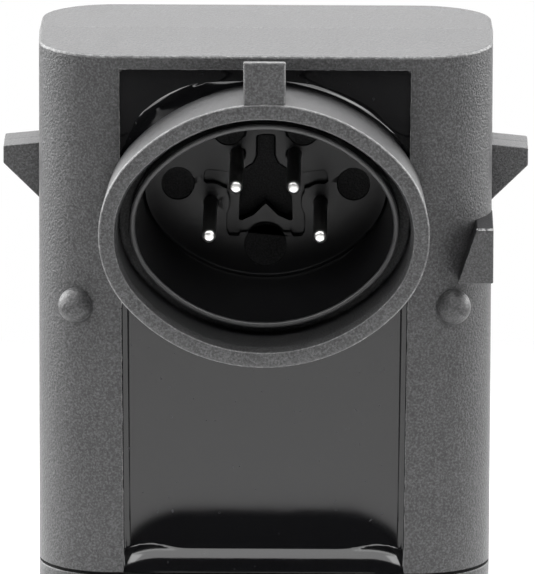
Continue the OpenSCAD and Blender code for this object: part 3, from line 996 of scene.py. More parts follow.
    def _hook(self) -> Piece:
        """Models the hook on the right front corner.

        Returns:
            The hook.
        """
        right, low = self.width / 2, self.hook_top - self.hook_h
        front = -self.depth / 2 - self.hook_reach
        back = -(self.depth / 2 - self.corner)
        hook = add_box("hook", (right - self.hook_foot, front, low), (right, back, self.hook_top))
        with Edit(hook, "VERT") as edit:
            edit.select(lambda v: v.co.x < (right - NEAR) * MM and v.co.z > (low + NEAR) * MM)
            bpy.ops.transform.translate(value=((self.hook_foot - self.hook_width) * MM, 0, 0))
        free = back - self.free_from
        bevel(hook, self.edge_round, 2, lambda e: sharp(e) and middle(e).y < free)
        return hook

    def _cavity(self, grow: float = 0.0) -> Piece:
        """Models the room inside the walls, or one that reaches some way into them.

        Args:
            grow: how far it reaches into the walls.

        Returns:
            The room.
        """
        wall = self.wall - grow
        half_w, half_d = self.width / 2 - wall, self.depth / 2 - wall
        low, high = (-half_w, -half_d, self.seam - NEAR), (half_w, half_d, self.ceiling + grow)
        room = add_box("room", low, high)
        bevel(room, self.corner - wall, self.room_faces, upright)
        return room

    def _opening(self) -> Piece:
        """Models the cutter of the front window, which is open at its foot.

        Returns:
            The cutter.
        """
        front, back = -self.depth / 2, -self.depth / 2 + self.wall + self.opening_spare
        low, half = self.seam - NEAR, self.window / 2
        opening = add_box("opening", (-half, front - NEAR, low), (half, back, self.ceiling))
        with Edit(opening, "VERT") as edit:
            edit.select(lambda v: v.co.z < (low + NEAR) * MM)
            narrowed = self.half_window(low) / half
            bpy.ops.transform.resize(value=(narrowed, 1, 1), center_override=MIDDLE)
        return opening

    def _flash(self) -> list[Piece]:
        """Models slivers of flash along the window's sides and head, and on the hook's edge; their
        light crumbs are a painted highlight.

        Returns:
            The slivers, dressed.
        """
        strips = [self._side_flash(side) for side in (-1, 1)]
        front, half = -self.depth / 2, self.window / 2
        low = (-half, front + self.flash_set, self.ceiling - self.flash)
        high = (half, front + self.flash_deep, self.ceiling + self.flash_set)
        head = add_box("flash", low, high)
        self._jag(head, ACROSS, self.head_points, lambda v: v.z < self.ceiling)
        strips.append(head)
        right, tip = self.width / 2, front - self.hook_reach
        inner = (right - self.hook_width, tip, self.hook_top)
        outer = (right, tip, self.hook_top)
        crest = add_box(
            "flash",
            tuple(at + by for at, by in zip(inner, self.crest_low)),
            tuple(at + by for at, by in zip(outer, self.crest_high)),
        )
        self._jag(crest, ACROSS, self.crest_points, lambda v: v.z > self.hook_top)
        strips.append(crest)
        for strip in strips:
            dress(strip, *self.finishes)
            # Painted highlight: the hook's sliver is pale, and the window's slivers get the worn
            # edge's light crumbs.
            look = CasingFace.FLASH if strip is crest else CasingFace.RUBBED
            paint(strip, look, lambda at, normal: True)
        return strips

    def _side_flash(self, side: int) -> Piece:
        """Models the sliver along one side of the window.

        Args:
            side: -1 for the left side, 1 for the right one.

        Returns:
            The sliver.
        """
        front, half = -self.depth / 2, self.window / 2
        left, right = sorted((side * (half - self.flash), side * (half + self.flash_set)))
        low = (left, front + self.flash_set, self.seam + self.flash_foot)
        strip = add_box("flash", low, (right, front + self.flash_deep, self.ceiling))
        self._jag(strip, UP, self.side_points, lambda v: v.x * side < half)
        for vertex in strip.data.vertices:
            vertex.co.x += side * (self.half_window(vertex.co.z / MM) - half) * MM
        return strip

    def _jag(
        self, strip: Piece, along: Vector, cuts: int, free: Callable[[Vector], bool]
    ) -> None:
        """Makes a strip's free edge uneven.

        Args:
            strip: the strip.
            along: the way that it runs.
            cuts: how many points its edges get.
            free: takes a point, and says whether it is on the free edge.
        """
        with Edit(strip) as edit:
            edit.select(lambda e: abs((e.verts[0].co - e.verts[1].co).dot(along)) > NEAR / 2 * MM)
            bpy.ops.mesh.subdivide(number_cuts=cuts)
        wall = (ACROSS if along.z else UP) * MM
        inward = -1.0 if strip.data.vertices[0].co.dot(wall) > 0 else 1.0
        for vertex in strip.data.vertices:
            at = vertex.co / MM
            if free(at):
                run = at.dot(along)
                ragged = noise.noise(Vector((run * self.ragged_scale, inward, self.ragged_seed)))
                crumb = noise.noise(Vector((run * self.crumb_scale, self.crumb_seed, inward)))
                jag = ragged * self.ragged_share + max(crumb, 0.0) * self.crumb_share - self.worn
                vertex.co += wall * inward * self.flash * jag

    def _touch(self, body: Piece) -> None:
        """Picks the faces that get painted shade, and those that get wear and a painted highlight.

        Args:
            body: the casing.
        """
        front, right = -self.depth / 2, self.width / 2
        low, high = self.hook_top - self.hook_h, self.hook_top + self.shade_paint_above

        def painted_shade_faces(at: Vector, normal: Vector) -> bool:
            """Picks the faces on the hook's top and its inner side, which are painted dark as
            shade.

            Args:
                at: a face's middle.
                normal: its normal.

            Returns:
                Whether it is one.
            """
            on_hook = at.x > right - self.hook_foot and at.y < front + self.shade_paint_deep
            turned = normal.z > self.facing_up or normal.x < self.facing_in
            return on_hook and low < at.z < high and turned

        def rubbed(at: Vector, normal: Vector) -> bool:
            """Whether a face is on the round of the top's front edge, which gets wear and a painted
            highlight.
            """
            tilted = self.wear_highlight_tilt[0] < normal.z < self.wear_highlight_tilt[1] and normal.y < self.wear_highlight_front
            return at.z > self.edge - self.wear_highlight_band and tilted

        # The hook's top and inner side get painted shade.
        paint(body, CasingFace.POLISH_AND_PAINTED_SHADE, painted_shade_faces)
        paint(body, CasingFace.RUBBED, rubbed)

    def half_window(self, z: float) -> float:
        """Half the window's width at a height."""
        return self.window / 2 - self.window_taper * (self.ceiling - z) / (self.ceiling - self.seam)

    def _rail(self, side: int) -> Piece:
        """Models one rail on the back wall, which the circuit board stands against.

        Args:
            side: -1 for the left rail, 1 for the right one.

        Returns:
            The rail.
        """
        outer, back = self.width / 2, self.depth / 2
        left, right = sorted((side * outer, side * (outer - self.wall - self.rail_w)))
        rail = add_box(
            "rail", (left, self.rail_front, self.rail_foot), (right, back, self.edge)
        )
        combine(rail, self._cavity(self.rail_bite), Join.KEEP)
        return rail

    def _soften(self, body: Piece) -> None:
        """Rounds the window's edges and draws the parting line.

        Args:
            body: the casing.
        """
        front, half = -self.depth / 2, self.window / 2
        flank = self.width / 2 - self.parting_band

        def on_window(edge: bmesh.types.BMEdge) -> bool:
            """Picks the edges that frame the window on the front.

            Args:
                edge: the edge.

            Returns:
                Whether it is one.
            """
            at = middle(edge)
            side = abs(abs(at.x) - self.half_window(at.z)) < TOUCH
            head = abs(at.z - self.ceiling) < TOUCH and abs(at.x) < half
            return sharp(edge) and abs(at.y - front) < TOUCH and (side or head)

        def on_parting(edge: bmesh.types.BMEdge) -> bool:
            """Picks the edges on the parting line outside.

            Args:
                edge: the edge.

            Returns:
                Whether it is one.
            """
            at = middle(edge)
            flat = all(abs(v.co.y) < ON_PLANE for v in edge.verts)
            return flat and (abs(at.x) > flank or at.z > self.edge)

        bevel(body, self.window_round, 2, on_window)
        bevel(body, self.groove, 2, on_parting)
        with Edit(body, "VERT") as edit:
            edit.select(
                lambda v: abs(v.co.y) < ON_PLANE
                and (abs(v.co.x) > flank * MM or v.co.z > self.edge * MM)
            )
            bpy.ops.transform.shrink_fatten(value=-self.groove * self.groove_share * MM)


@dataclass
class Oval:
    """The four-centre oval that the socket's walls follow."""

    half_w: float = 8.27
    half_h: float = 6.73
    rim: float = -12.1
    axis: float = 30.6
    end_steps: int = 26
    side_steps: int = 30

    @property
    def end_r(self) -> float:
        """Radius of the tight end arcs."""
        return self.half_h**2 / self.half_w

    @property
    def end_x(self) -> float:
        """Distance of the end arcs' centres from the middle."""
        return self.half_w - self.end_r

    @property
    def side_r(self) -> float:
        """Radius of the wide arcs."""
        rise = self.half_h - self.end_r
        return (self.end_x**2 + self.half_h**2 - self.end_r**2) / (2 * rise)

    @property
    def side_z(self) -> float:
        """Distance of the wide arcs' centres from the middle."""
        return self.side_r - self.half_h

    def outside_by(self, x: float, z: float) -> float:
        """How far a point is outside the oval.

        Args:
            x: across the socket.
            z: above its axis.

        Returns:
            The distance, negative inside.
        """
        x, z = abs(x), abs(z)
        if (x - self.end_x) * self.side_z > z * self.end_x:
            return math.hypot(x - self.end_x, z) - self.end_r
        return math.hypot(x, z + self.side_z) - self.side_r

    def spin(self, name: str, section: Sequence[Flat], closed: bool = True) -> Piece:
        """Turns a section round the oval, arc by arc.

        Args:
            name: the object's name.
            section: inset from the oval and depth behind the rim of each point.
            closed: whether the section is a ring.

        Returns:
            The turned wall.
        """
        start = math.atan2(self.side_z, self.end_x)
        spokes = [
            (
                self.end_x + (self.end_r - inset) * math.cos(start),
                self.rim + depth,
                self.axis - (self.end_r - inset) * math.sin(start),
            )
            for inset, depth in section
        ]
        wall = add_loop(name, spokes)
        arcs = (
            (self.end_x, 0.0, 2 * start, self.end_steps),
            (0.0, -self.side_z, math.pi - 2 * start, self.side_steps),
            (-self.end_x, 0.0, 2 * start, self.end_steps),
            (0.0, self.side_z, math.pi - 2 * start, self.side_steps),
        )
        with Edit(wall) as edit:
            if not closed:
                ends = (0, len(section) - 1)
                edit.select(lambda e: sorted(v.index for v in e.verts) == list(ends))
                bpy.ops.mesh.delete(type="EDGE")
            edit.all()
            for x, z, angle, steps in arcs:
                bpy.ops.mesh.spin(
                    steps=steps,
                    angle=angle,
                    center=(x * MM, 0.0, (self.axis + z) * MM),
                    axis=(0.0, 1.0, 0.0),
                    use_auto_merge=False,
                )
            edit.all()
            bpy.ops.mesh.remove_doubles(threshold=MERGE)
            edit.outward()
        return wall


@dataclass
class Shroud:
    """The plug shroud: oval wall with its rim and groove, key tab, and neck in the window."""

    oval: Oval = field(default_factory=Oval)
    reach: float = 5.4
    taper: float = 0.2
    rim_w: float = 0.78
    bevel_w: float = 0.15
    bevel_depth: float = 0.65
    groove_depth: float = 4.2
    sleeve: float = 1.52
    neck_end: float = 9.0
    neck_half: float = 7.1
    key_half: float = 1.05
    key_foot: float = 36.94
    key_top: float = 39.43
    key_top_l: float = 0.45
    key_foot_l: float = 3.0
    key_back: float = 0.1
    key_round: float = 0.09
    # Where the key's upper edge gets wear and a painted highlight.
    key_wear_highlight: float = 0.12
    key_free: float = 0.2
    rim_round: float = 0.13
    seat_round: float = 0.05
    groove_round: float = 0.15
    bevel_round: float = 0.4
    mouth_round: float = 0.08
    # Where the rim's rounds get wear and a painted highlight.
    wear_highlight_deep: float = 0.16
    wear_highlight_tilt: Flat = (-0.97, -0.12)
    key_tilt: float = 0.2
    neck_bite: float = 0.3
    neck_fit: float = 0.01
    neck_step: float = 0.03
    room_half: float = 9.0

    def build(self) -> None:
        """Models the shroud and dresses it."""
        bore = self.rim_w + self.bevel_w
        section = rounded(
            [
                (0.0, 0.0, self.rim_round),
                (self.taper, self.reach, 0.0),
                (self.sleeve, self.reach, 0.0),
                (self.sleeve, self.groove_depth, self.seat_round),
                (bore, self.groove_depth, self.groove_round),
                (bore, self.bevel_depth, self.bevel_round),
                (self.rim_w, 0.0, self.mouth_round),
            ]
        )
        wall = self.oval.spin("shroud_moulding", section)
        combine(wall, self._neck(), Join.ADD)
        combine(wall, self._key(), Join.ADD)
        smooth(wall)
        dress(wall, SHROUD, RIM_WEAR_AND_HIGHLIGHT)
        self._touch(wall)
        place(wall, "connector_shroud")

    def _touch(self, wall: Piece) -> None:
        """Picks the edges of rim and key that get wear and a painted highlight.

        Args:
            wall: the shroud.
        """
        deep, high = self.oval.rim + self.wear_highlight_deep, self.key_top - self.key_wear_highlight

        def rubbed(at: Vector, normal: Vector) -> bool:
            """Whether a face is on the rim's rounds or the key's upper edge, which get wear and a
            painted highlight.
            """
            on_rim = at.y < deep and self.wear_highlight_tilt[0] < normal.y < self.wear_highlight_tilt[1]
            return on_rim or at.z > high and normal.z > self.key_tilt

        paint(wall, 1, rubbed)

    def _neck(self) -> Piece:
        """Models the neck, which the window's sides flatten.

        Returns:
            The neck.
        """
        front = self.reach - self.neck_bite
        inner, outer = self.sleeve + self.neck_fit, self.taper + self.neck_step
        section = [(outer, front), (outer, self.neck_end), (inner, self.neck_end), (inner, front)]
        neck = self.oval.spin("neck", section)
        rim, axis = self.oval.rim, self.oval.axis
        low = (-self.neck_half, rim + self.reach - NEAR, axis - self.room_half)
        high = (self.neck_half, rim + self.neck_end + NEAR, axis + self.room_half)
        combine(neck, add_box("room", low, high), Join.KEEP)
        return neck

    def _key(self) -> Piece:
        """Models the key tab, thin at its top and a little behind the rim.

        Returns:
            The tab.
        """
        front = self.oval.rim + self.key_back
        back = self.oval.rim + self.key_foot_l
        low, high = (-self.key_half, front, self.key_foot), (self.key_half, back, self.key_top)
        key = add_box("key", low, high)
        with Edit(key, "VERT") as edit:
            edit.select(
                lambda v: v.co.z > (self.key_top - NEAR) * MM and v.co.y > (back - NEAR) * MM
            )
            forward = self.oval.rim + self.key_top_l - back
            bpy.ops.transform.translate(value=(0, forward * MM, 0))
        free = self.key_foot + self.key_free
        bevel(key, self.key_round, 3, lambda e: sharp(e) and middle(e).z > free)
        return key


class CarrierFace(IntEnum):
    """Which of the carrier's finishes a face has."""

    POLISH_AND_PAINTED_SHADE = 0
    ERODED = 1
    LIP = 2


@dataclass
class Carrier:
    """The pin carrier: sleeve with its lip, floor with a cored recess and ejector marks."""

    oval: Oval = field(default_factory=Oval)
    inset: float = 1.52
    lip: float = 0.28
    draft: float = 0.3
    lip_depth: float = 2.4
    floor_depth: float = 12.2
    floor_t: float = 2.3
    neck_end: float = 9.0
    collar_l: float = 0.8
    collar_w: float = 0.6
    core_depth: float = 1.5
    channel_depth: float = 0.5
    shelf_depth: float = 0.3
    mark_depth: float = 0.12
    boss_r: float = 1.0
    low_boss_r: float = 1.14
    boss_l: float = 4.0
    pin_r: float = 0.35
    lip_round: float = 0.1
    mouth_round: float = 0.12
    lip_band: float = 0.14
    overcut: float = 0.4
    mark_sides: int = 48
    hole_sides: int = 32
    floor_in: float = 2.6
    core_half: float = 1.2
    core_reach: float = 1.5
    core_foot: float = 0.7
    core_round: float = 0.14
    mark_round: float = 0.05
    bottom_tilt: float = -0.9
    fillet: Sequence[Flat] = ((-0.06, 0.16), (0.02, 0.04), (0.12, 0.0))
    pins: Sequence[Flat] = PIN_SPOTS
    marks: Sequence[Corner] = (
        (-4.47, 0.1, 0.82),
        (4.47, 0.1, 0.82),
        (-1.89, 2.93, 0.82),
        (1.89, 2.93, 0.82),
        (0.0, -3.1, 1.06),
    )
    core: Sequence[Corner] = (
        (-0.02, 2.6, 0.0),
        (0.41, 2.6, 0.12),
        (0.41, 1.55, 0.3),
        (0.62, 1.1, 0.3),
        (1.3, 0.75, 0.2),
        (1.38, -1.95, 0.08),
        (0.6, -1.6, 0.4),
        (0.14, -1.12, 0.2),
        (-0.02, -1.0, 0.0),
    )
    shelf: Sequence[Corner] = (
        (-0.02, -0.9, 0.0),
        (1.34, -0.9, 0.0),
        (1.38, -1.62, 0.0),
        (1.46, -2.05, 0.1),
        (1.28, -2.4, 0.1),
        (-0.02, -2.4, 0.0),
    )
    arm: Sequence[Corner] = (
        (0.9, 0.56, 0.0),
        (2.94, 0.82, 0.14),
        (3.12, 0.68, 0.1),
        (3.16, 0.26, 0.1),
        (3.02, 0.12, 0.1),
        (1.9, -0.14, 0.0),
        (0.9, -0.3, 0.0),
    )
    leg: Sequence[Corner] = (
        (1.2, 0.2, 0.0),
        (1.95, 0.0, 0.0),
        (1.98, -2.3, 0.1),
        (1.86, -2.6, 0.1),
        (1.42, -2.62, 0.1),
        (1.24, -2.34, 0.1),
    )

    @property
    def floor_y(self) -> float:
        """Where the socket floor is."""
        return self.oval.rim + self.floor_depth

    def build(self) -> None:
        """Models the carrier and dresses it."""
        back = self.floor_depth + self.floor_t
        inner = self.inset + self.lip
        collar = self.inset - self.collar_w
        collar_end = self.neck_end + self.collar_l
        section = rounded(
            [
                (self.inset, back, 0.0),
                (self.inset, collar_end, 0.0),
                (collar, collar_end, 0.0),
                (collar, self.neck_end, 0.0),
                (self.inset, self.neck_end, 0.0),
                (self.inset, self.lip_depth, self.lip_round),
                (inner, self.lip_depth, self.mouth_round),
                *(
                    (inner + self.draft + across, self.floor_depth - above, 0.0)
                    for across, above in self.fillet
                ),
            ]
        )
        cup = self.oval.spin("carrier_moulding", section, closed=False)
        with Edit(cup) as edit:
            for depth in (self.floor_depth, back):
                level = (self.oval.rim + depth) * MM
                edit.select(
                    lambda e: len(e.link_faces) == 1
                    and all(abs(v.co.y - level) < LEVEL * MM for v in e.verts)
                )
                bpy.ops.mesh.edge_face_add()
            edit.outward()
        for tool in self._tools():
            combine(cup, tool, Join.CUT)
        self._soften(cup)
        smooth(cup)
        dress(cup, CARRIER, MARK, LIP_PAINTED_HIGHLIGHT)
        self._mark(cup)
        place(cup, "pin_carrier")

    def _raised(self, points: Sequence[Flat], side: int) -> list[Flat]:
        """An outline about the socket's axis, on one side, at its real height."""
        return [(side * x, self.oval.axis + z) for x, z in points]

    def _tools(self) -> list[Piece]:
        """Models the cutters of the recess, the marks and the pins' holes.

        Returns:
            The cutters.
        """
        front = self.floor_y - self.overcut
        tools: list[Piece] = []
        cuts = (
            (self.core, self.core_depth),
            (self.shelf, self.shelf_depth),
            (self.arm, self.channel_depth),
            (self.leg, self.channel_depth),
        )
        low_boss = self.marks[-1][:2]
        for side in (-1, 1):
            pin = next(pin for pin in self.pins if pin[1] < 0 and pin[0] * side > 0)
            for outline, depth in cuts:
                shape = self._raised(rounded(outline), side)
                tool = add_prism("cut", shape, front, self.floor_y + depth)
                if outline is not self.core:
                    combine(tool, self._boss(pin, self.boss_r), Join.CUT)
                    combine(tool, self._boss(low_boss, self.low_boss_r), Join.CUT)
                tools.append(tool)
        for x, z, radius in self.marks:
            spot, length = (x, front, self.oval.axis + z), self.overcut + self.mark_depth
            tools.append(add_rod("mark", spot, radius, length, self.mark_sides))
        for x, z in self.pins:
            spot, length = (x, front, self.oval.axis + z), self.floor_t + NEAR
            tools.append(add_rod("hole", spot, self.pin_r, length, self.hole_sides))
        return tools

    def _boss(self, spot: Flat, radius: float) -> Piece:
        """A round that a cutter leaves standing."""
        foot = (spot[0], self.floor_y - NEAR, self.oval.axis + spot[1])
        return add_rod("boss", foot, radius, self.boss_l)

    def _soften(self, cup: Piece) -> None:
        """Rounds the edges of the recess and the marks on the floor.

        Args:
            cup: the carrier.
        """

        def on_floor(edge: bmesh.types.BMEdge) -> bool:
            """Picks the edges on the floor, away from the wall.

            Args:
                edge: the edge.

            Returns:
                Whether it is one.
            """
            flat = all(abs(v.co.y / MM - self.floor_y) < LEVEL for v in edge.verts)
            at = middle(edge)
            outside = self.oval.outside_by(at.x, at.z - self.oval.axis)
            return flat and sharp(edge) and outside < -self.floor_in

        def on_core(edge: bmesh.types.BMEdge) -> bool:
            """Picks those of them that are at the top of the core.

            Args:
                edge: the edge.

            Returns:
                Whether it is one.
            """
            at = middle(edge)
            high = at.z - self.oval.axis > self.core_foot
            return on_floor(edge) and abs(at.x) < self.core_half and high

        bevel(cup, self.core_round, 4, on_core)
        bevel(cup, self.mark_round, 2, on_floor)

    def _mark(self, cup: Piece) -> None:
        """Gives the marks' and the core's bottoms their grain, and the sleeve's lip a painted
        highlight.

        Args:
            cup: the carrier.
        """
        floor, core = self.floor_y, self.floor_y + self.core_depth
        eroded = (floor + self.mark_depth, core)
        lip = self.oval.rim + self.lip_depth + self.lip_band
        below = floor + self.channel_depth + 2 * TOUCH
        for face in cup.data.polygons:
            at = face.center / MM
            level = any(abs(at.y - bottom) < TOUCH for bottom in eroded)
            bottom = level and face.normal.y < self.bottom_tilt
            deep = below < at.y < core + TOUCH and abs(at.x) < self.core_reach
            if bottom or deep:
                face.material_index = CarrierFace.ERODED
            # The lip's faces get the lighter colour of the painted highlight.
            elif at.y < lip:
                face.material_index = CarrierFace.LIP


@dataclass
class Potting:
    """The poured resin: its flat, the lip at its foot, and its run-up along every wall."""

    oval: Oval = field(default_factory=Oval)
    half: float = 7.35
    taper: float = 0.25
    seam: float = 12.0
    head: float = 38.0
    face: float = -6.7
    drop: float = 0.85
    crest_r: float = 2.4
    crest_tilt: float = 33.5
    foot_tilt: float = 5.0
    hollow: float = 3.65
    hollow_in: float = 3.3
    hollow_power: float = 2.7
    lip_corner: float = 3.2
    crease: float = 0.01
    lip_in: float = 1.85
    neck_inset: float = 0.23
    ring_w: float = 0.5
    climb: float = 0.36
    creep: float = 0.08
    ledge: float = 0.06
    ledge_w: float = 0.34
    ledge_soft: float = 0.018
    wide_creep: float = 0.6
    lump_h: float = 1.0
    lump_turn: float = 131.0
    lump_spread: float = 0.26
    lump_gain: float = 1.7
    lump_grow: float = 0.8
    lump_power: float = 1.6
    ragged_share: float = 0.6
    ragged_scale: float = 9.0
    ragged_seed: Flat = (0.3, 0.7)
    ring_grow: float = 0.45
    ring_steps: int = 16
    ring_deep: float = 0.2
    ring_fit: float = 0.005
    waves: Sequence[tuple[float, int, float]] = ((0.12, 7, 0.0), (0.08, 17, 1.0))
    creep_w: float = 0.025
    climb_most: float = 1.6
    wide_from: float = 27.0
    wide_over: float = 8.0
    ledge_from: float = 1.0
    ledge_over: float = 1.5
    crest_share: float = 0.98
    step: float = 0.3
    side_step: float = 0.09
    side_cuts: int = 15
    lip_cuts: int = 47
    lip_parts: int = 4
    skin_tilt: float = -0.4
    gloss_tilt: float = -0.3
    smooth_degrees: float = 40.0
    fine: Sequence[float] = (
        *(0.02, 0.05, 0.09, 0.16, 0.24, 0.29, 0.32),
        *(0.35, 0.38, 0.42, 0.5, 0.66, 0.9),
    )

    def build(self) -> None:
        """Models the resin on a copy of its solid and dresses it."""
        pour = copied("potting_compound", "potting_pour")
        self._grid(pour)
        self._shape(pour)
        pour = merged([pour, self._ring()])
        smooth(pour, self.smooth_degrees)
        self._level_normals(pour)
        dress(pour, POTTING)
        place(pour, "potting_compound")

    def _shows(self, face: bmesh.types.BMFace) -> bool:
        """Whether a face is part of the skin that shows in the window."""
        flat = self.face + self.drop + 2 * TOUCH
        return face.normal.y < self.skin_tilt and face.calc_center_median().y / MM < flat

    def _grid(self, pour: Piece) -> None:
        """Cuts the skin into a grid, fine along the window's edges and on the lip.

        Args:
            pour: the resin.
        """
        count = int((self.half - NEAR) / self.step)
        across = [i * self.step for i in range(-count, count + 1)]
        for near in self.fine:
            across += [near - self.half, self.half - near]
        for i in range(1, self.side_cuts + 1):
            beside = self.half - self.fine[-1] - i * self.side_step
            across += [-beside, beside]
        rows = int((self.head - NEAR - self.seam) / self.step)
        up = [self.head - near for near in self.fine]
        up += [self.seam + i * self.step for i in range(1, rows + 1)]
        up += [self.seam + i * self.step / self.lip_parts for i in range(1, self.lip_cuts + 1)]
        lean = self.taper / (self.head - self.seam) / self.half
        cuts = [((x, 0.0, self.head), (1, 0, -x * lean)) for x in sorted(set(across))]
        cuts += [((0.0, 0.0, z), (0, 0, 1)) for z in sorted(set(up))]
        with Edit(pour, "FACE") as edit:
            edit.select(self._shows)
            bpy.ops.mesh.hide(unselected=True)
            for point, normal in cuts:
                edit.cut(point, normal)
            bpy.ops.mesh.reveal(select=False)

    def _lip(self, x: float, z: float) -> float:
        """Works out the skin's depth from flat, hollow and crest.

        Args:
            x: across the window.
            z: the height.

        Returns:
            Where the skin lies without its run-up.
        """
        foot, crest = math.radians(self.foot_tilt), math.radians(self.crest_tilt)
        flat = self.face + self.drop
        crest_y = self.face + self.crest_r * math.cos(foot)
        crease_y = crest_y - self.crest_r * math.cos(crest)
        crease_z = self.seam + self.crest_r * (math.sin(crest) - math.sin(foot))
        axis_z = crease_z - self.lip_corner
        beyond = max(abs(x) - (self.half - self.taper - self.lip_in), 0.0)
        rise = math.hypot(beyond, max(z - axis_z, 0.0))
        inward = max(abs(x) - (self.half - self.taper - self.hollow_in), 0.0)
        away = math.hypot(inward, max(z - axis_z, 0.0))
        near = min(max(1.0 - (away - self.lip_corner) / self.hollow, 0.0), 1.0)
        bowl = flat - (flat - crease_y) * near**self.hollow_power
        up = rise - (self.seam - self.crest_r * math.sin(foot) - axis_z)
        if up > self.crest_r * self.crest_share:
            return bowl
        roll = crest_y - math.sqrt(self.crest_r**2 - up**2)
        nearest = min(bowl, roll)
        both = math.exp((nearest - bowl) / self.crease) + math.exp((nearest - roll) / self.crease)
        return nearest - self.crease * math.log(both)

    def _depth(self, x: float, z: float) -> float:
        """Where the skin lies at a point."""
        return self._lip(x, z) - self._run_up(x, z)

    def _level_normals(self, pour: Piece) -> None:
        """Gives the skin the normals of its true shape, so that no facet shows in its gloss.

        Args:
            pour: the resin.
        """
        mesh = pour.data
        made = [corner.vector.copy() for corner in mesh.corner_normals]
        known: dict[int, Optional[Vector]] = {}
        for face in mesh.polygons:
            if face.normal.y > self.gloss_tilt:
                continue
            for corner in face.loop_indices:
                index = mesh.loops[corner].vertex_index
                if index not in known:
                    known[index] = self._true_normal(*(mesh.vertices[index].co / MM))
                if known[index] is not None:
                    made[corner] = known[index]
        mesh.normals_split_custom_set(made)

    def _true_normal(self, x: float, y: float, z: float) -> Optional[Vector]:
        """Works out the normal of the skin's true shape.

        Args:
            x: across the window.
            y: the depth.
            z: the height.

        Returns:
            The normal, or None for a point that isn't on the skin.
        """
        if abs(y - self._depth(x, z)) >= LEVEL:
            return None
        across = self._depth(x + TOUCH, z) - self._depth(x - TOUCH, z)
        up = self._depth(x, z + TOUCH) - self._depth(x, z - TOUCH)
        return Vector((across, -2 * TOUCH, up)).normalized()

    def half_at(self, z: float) -> float:
        """Half the window's width at a height."""
        return self.half - self.taper * (self.head - z) / (self.head - self.seam)

    def _run_up(self, x: float, z: float) -> float:
        """Works out how far the resin has crept up the window's walls.

        Args:
            x: across the window.
            z: the height.

        Returns:
            How far the skin stands forward for it.
        """
        share = min(max((z - self.wide_from) / self.wide_over, 0.0), 1.0)
        low = min(max((z - self.seam - self.ledge_from) / self.ledge_over, 0.0), 1.0)
        gap = max(self.half_at(z) - abs(x), 0.0)
        ledge = self.ledge * low / (1.0 + math.exp((gap - self.ledge_w) / self.ledge_soft))
        side = ledge + self.creep * math.exp(-gap / self.creep_w)
        wide = self.climb * (
            share * math.exp(-gap / self.wide_creep) + math.exp(-(self.head - z) / self.wide_creep)
        )
        return side * (1.0 - share) + min(wide, self.climb * self.climb_most)

    def _ring(self) -> Piece:
        """Models the run-up around the shroud's neck, fuller at the upper left.

        Returns:
            The ring.
        """
        depth = self.face + self.drop - self.oval.rim
        foot, below = self.neck_inset - self.ring_w, depth + self.ring_deep
        steps = self.ring_steps
        arc = [math.radians(90.0 * step / steps) for step in range(steps + 1)]
        section = [
            (foot + self.ring_w * math.cos(turn), depth - self.climb * (1 - math.sin(turn)))
            for turn in arc
        ]
        section += [(foot, below), (self.neck_inset, below)]
        ring = self.oval.spin("run_up", section)
        for vertex in ring.data.vertices:
            self._swell(vertex)
        lean = self.taper / (self.head - self.seam)
        with Edit(ring) as edit:
            for side in (-1, 1):
                edit.cut(
                    (side * (self.half - self.ring_fit), 0, self.head),
                    (side, 0, -lean),
                    use_fill=True,
                    clear_outer=True,
                )
            edit.outward()
        return ring

    def _swell(self, vertex: bpy.types.MeshVertex) -> None:
        """Moves a point of the run-up to its uneven place.

        Args:
            vertex: the point.
        """
        x, z = vertex.co.x / MM, vertex.co.z / MM - self.oval.axis
        out = max(self.oval.outside_by(x, z) + self.neck_inset, 0.0)
        turn = math.atan2(z, x)
        grain = noise.noise(Vector((turn * self.ragged_scale, *self.ragged_seed)))
        ragged = 1.0 + self.ragged_share * grain
        spread = (turn - math.radians(self.lump_turn)) / self.lump_spread
        lump = min(max(self.lump_gain * ragged * math.exp(-(spread**2)), 0.0), 1.0)
        wavy = sum(size * math.sin(count * turn + start) for size, count, start in self.waves)
        upper = math.sin(max(turn, 0.0))
        grow = (self.ring_grow + wavy) * upper * (1.0 - lump) + self.lump_grow * lump
        flat = (self.face + self.drop) * MM
        if vertex.co.y < flat + LEVEL * MM:
            climbed = max(flat - vertex.co.y, 0.0)
            share = 1.0 - min(out / self.ring_w, 1.0)
            bulge = self.lump_h * MM * share**self.lump_power
            vertex.co.y = flat - climbed - (bulge - climbed) * lump
        vertex.co.x += math.cos(turn) * out * grow * MM
        vertex.co.z += math.sin(turn) * out * grow * MM

    def _shape(self, pour: Piece) -> None:
        """Moves the skin's points to their depth.

        Args:
            pour: the resin.
        """
        mesh = bmesh.new()
        mesh.from_mesh(pour.data)
        mesh.normal_update()
        skin = {vertex for face in mesh.faces if self._shows(face) for vertex in face.verts}
        for vertex in skin:
            vertex.co.y = self._depth(vertex.co.x / MM, vertex.co.z / MM) * MM
        mesh.to_mesh(pour.data)
        mesh.free()


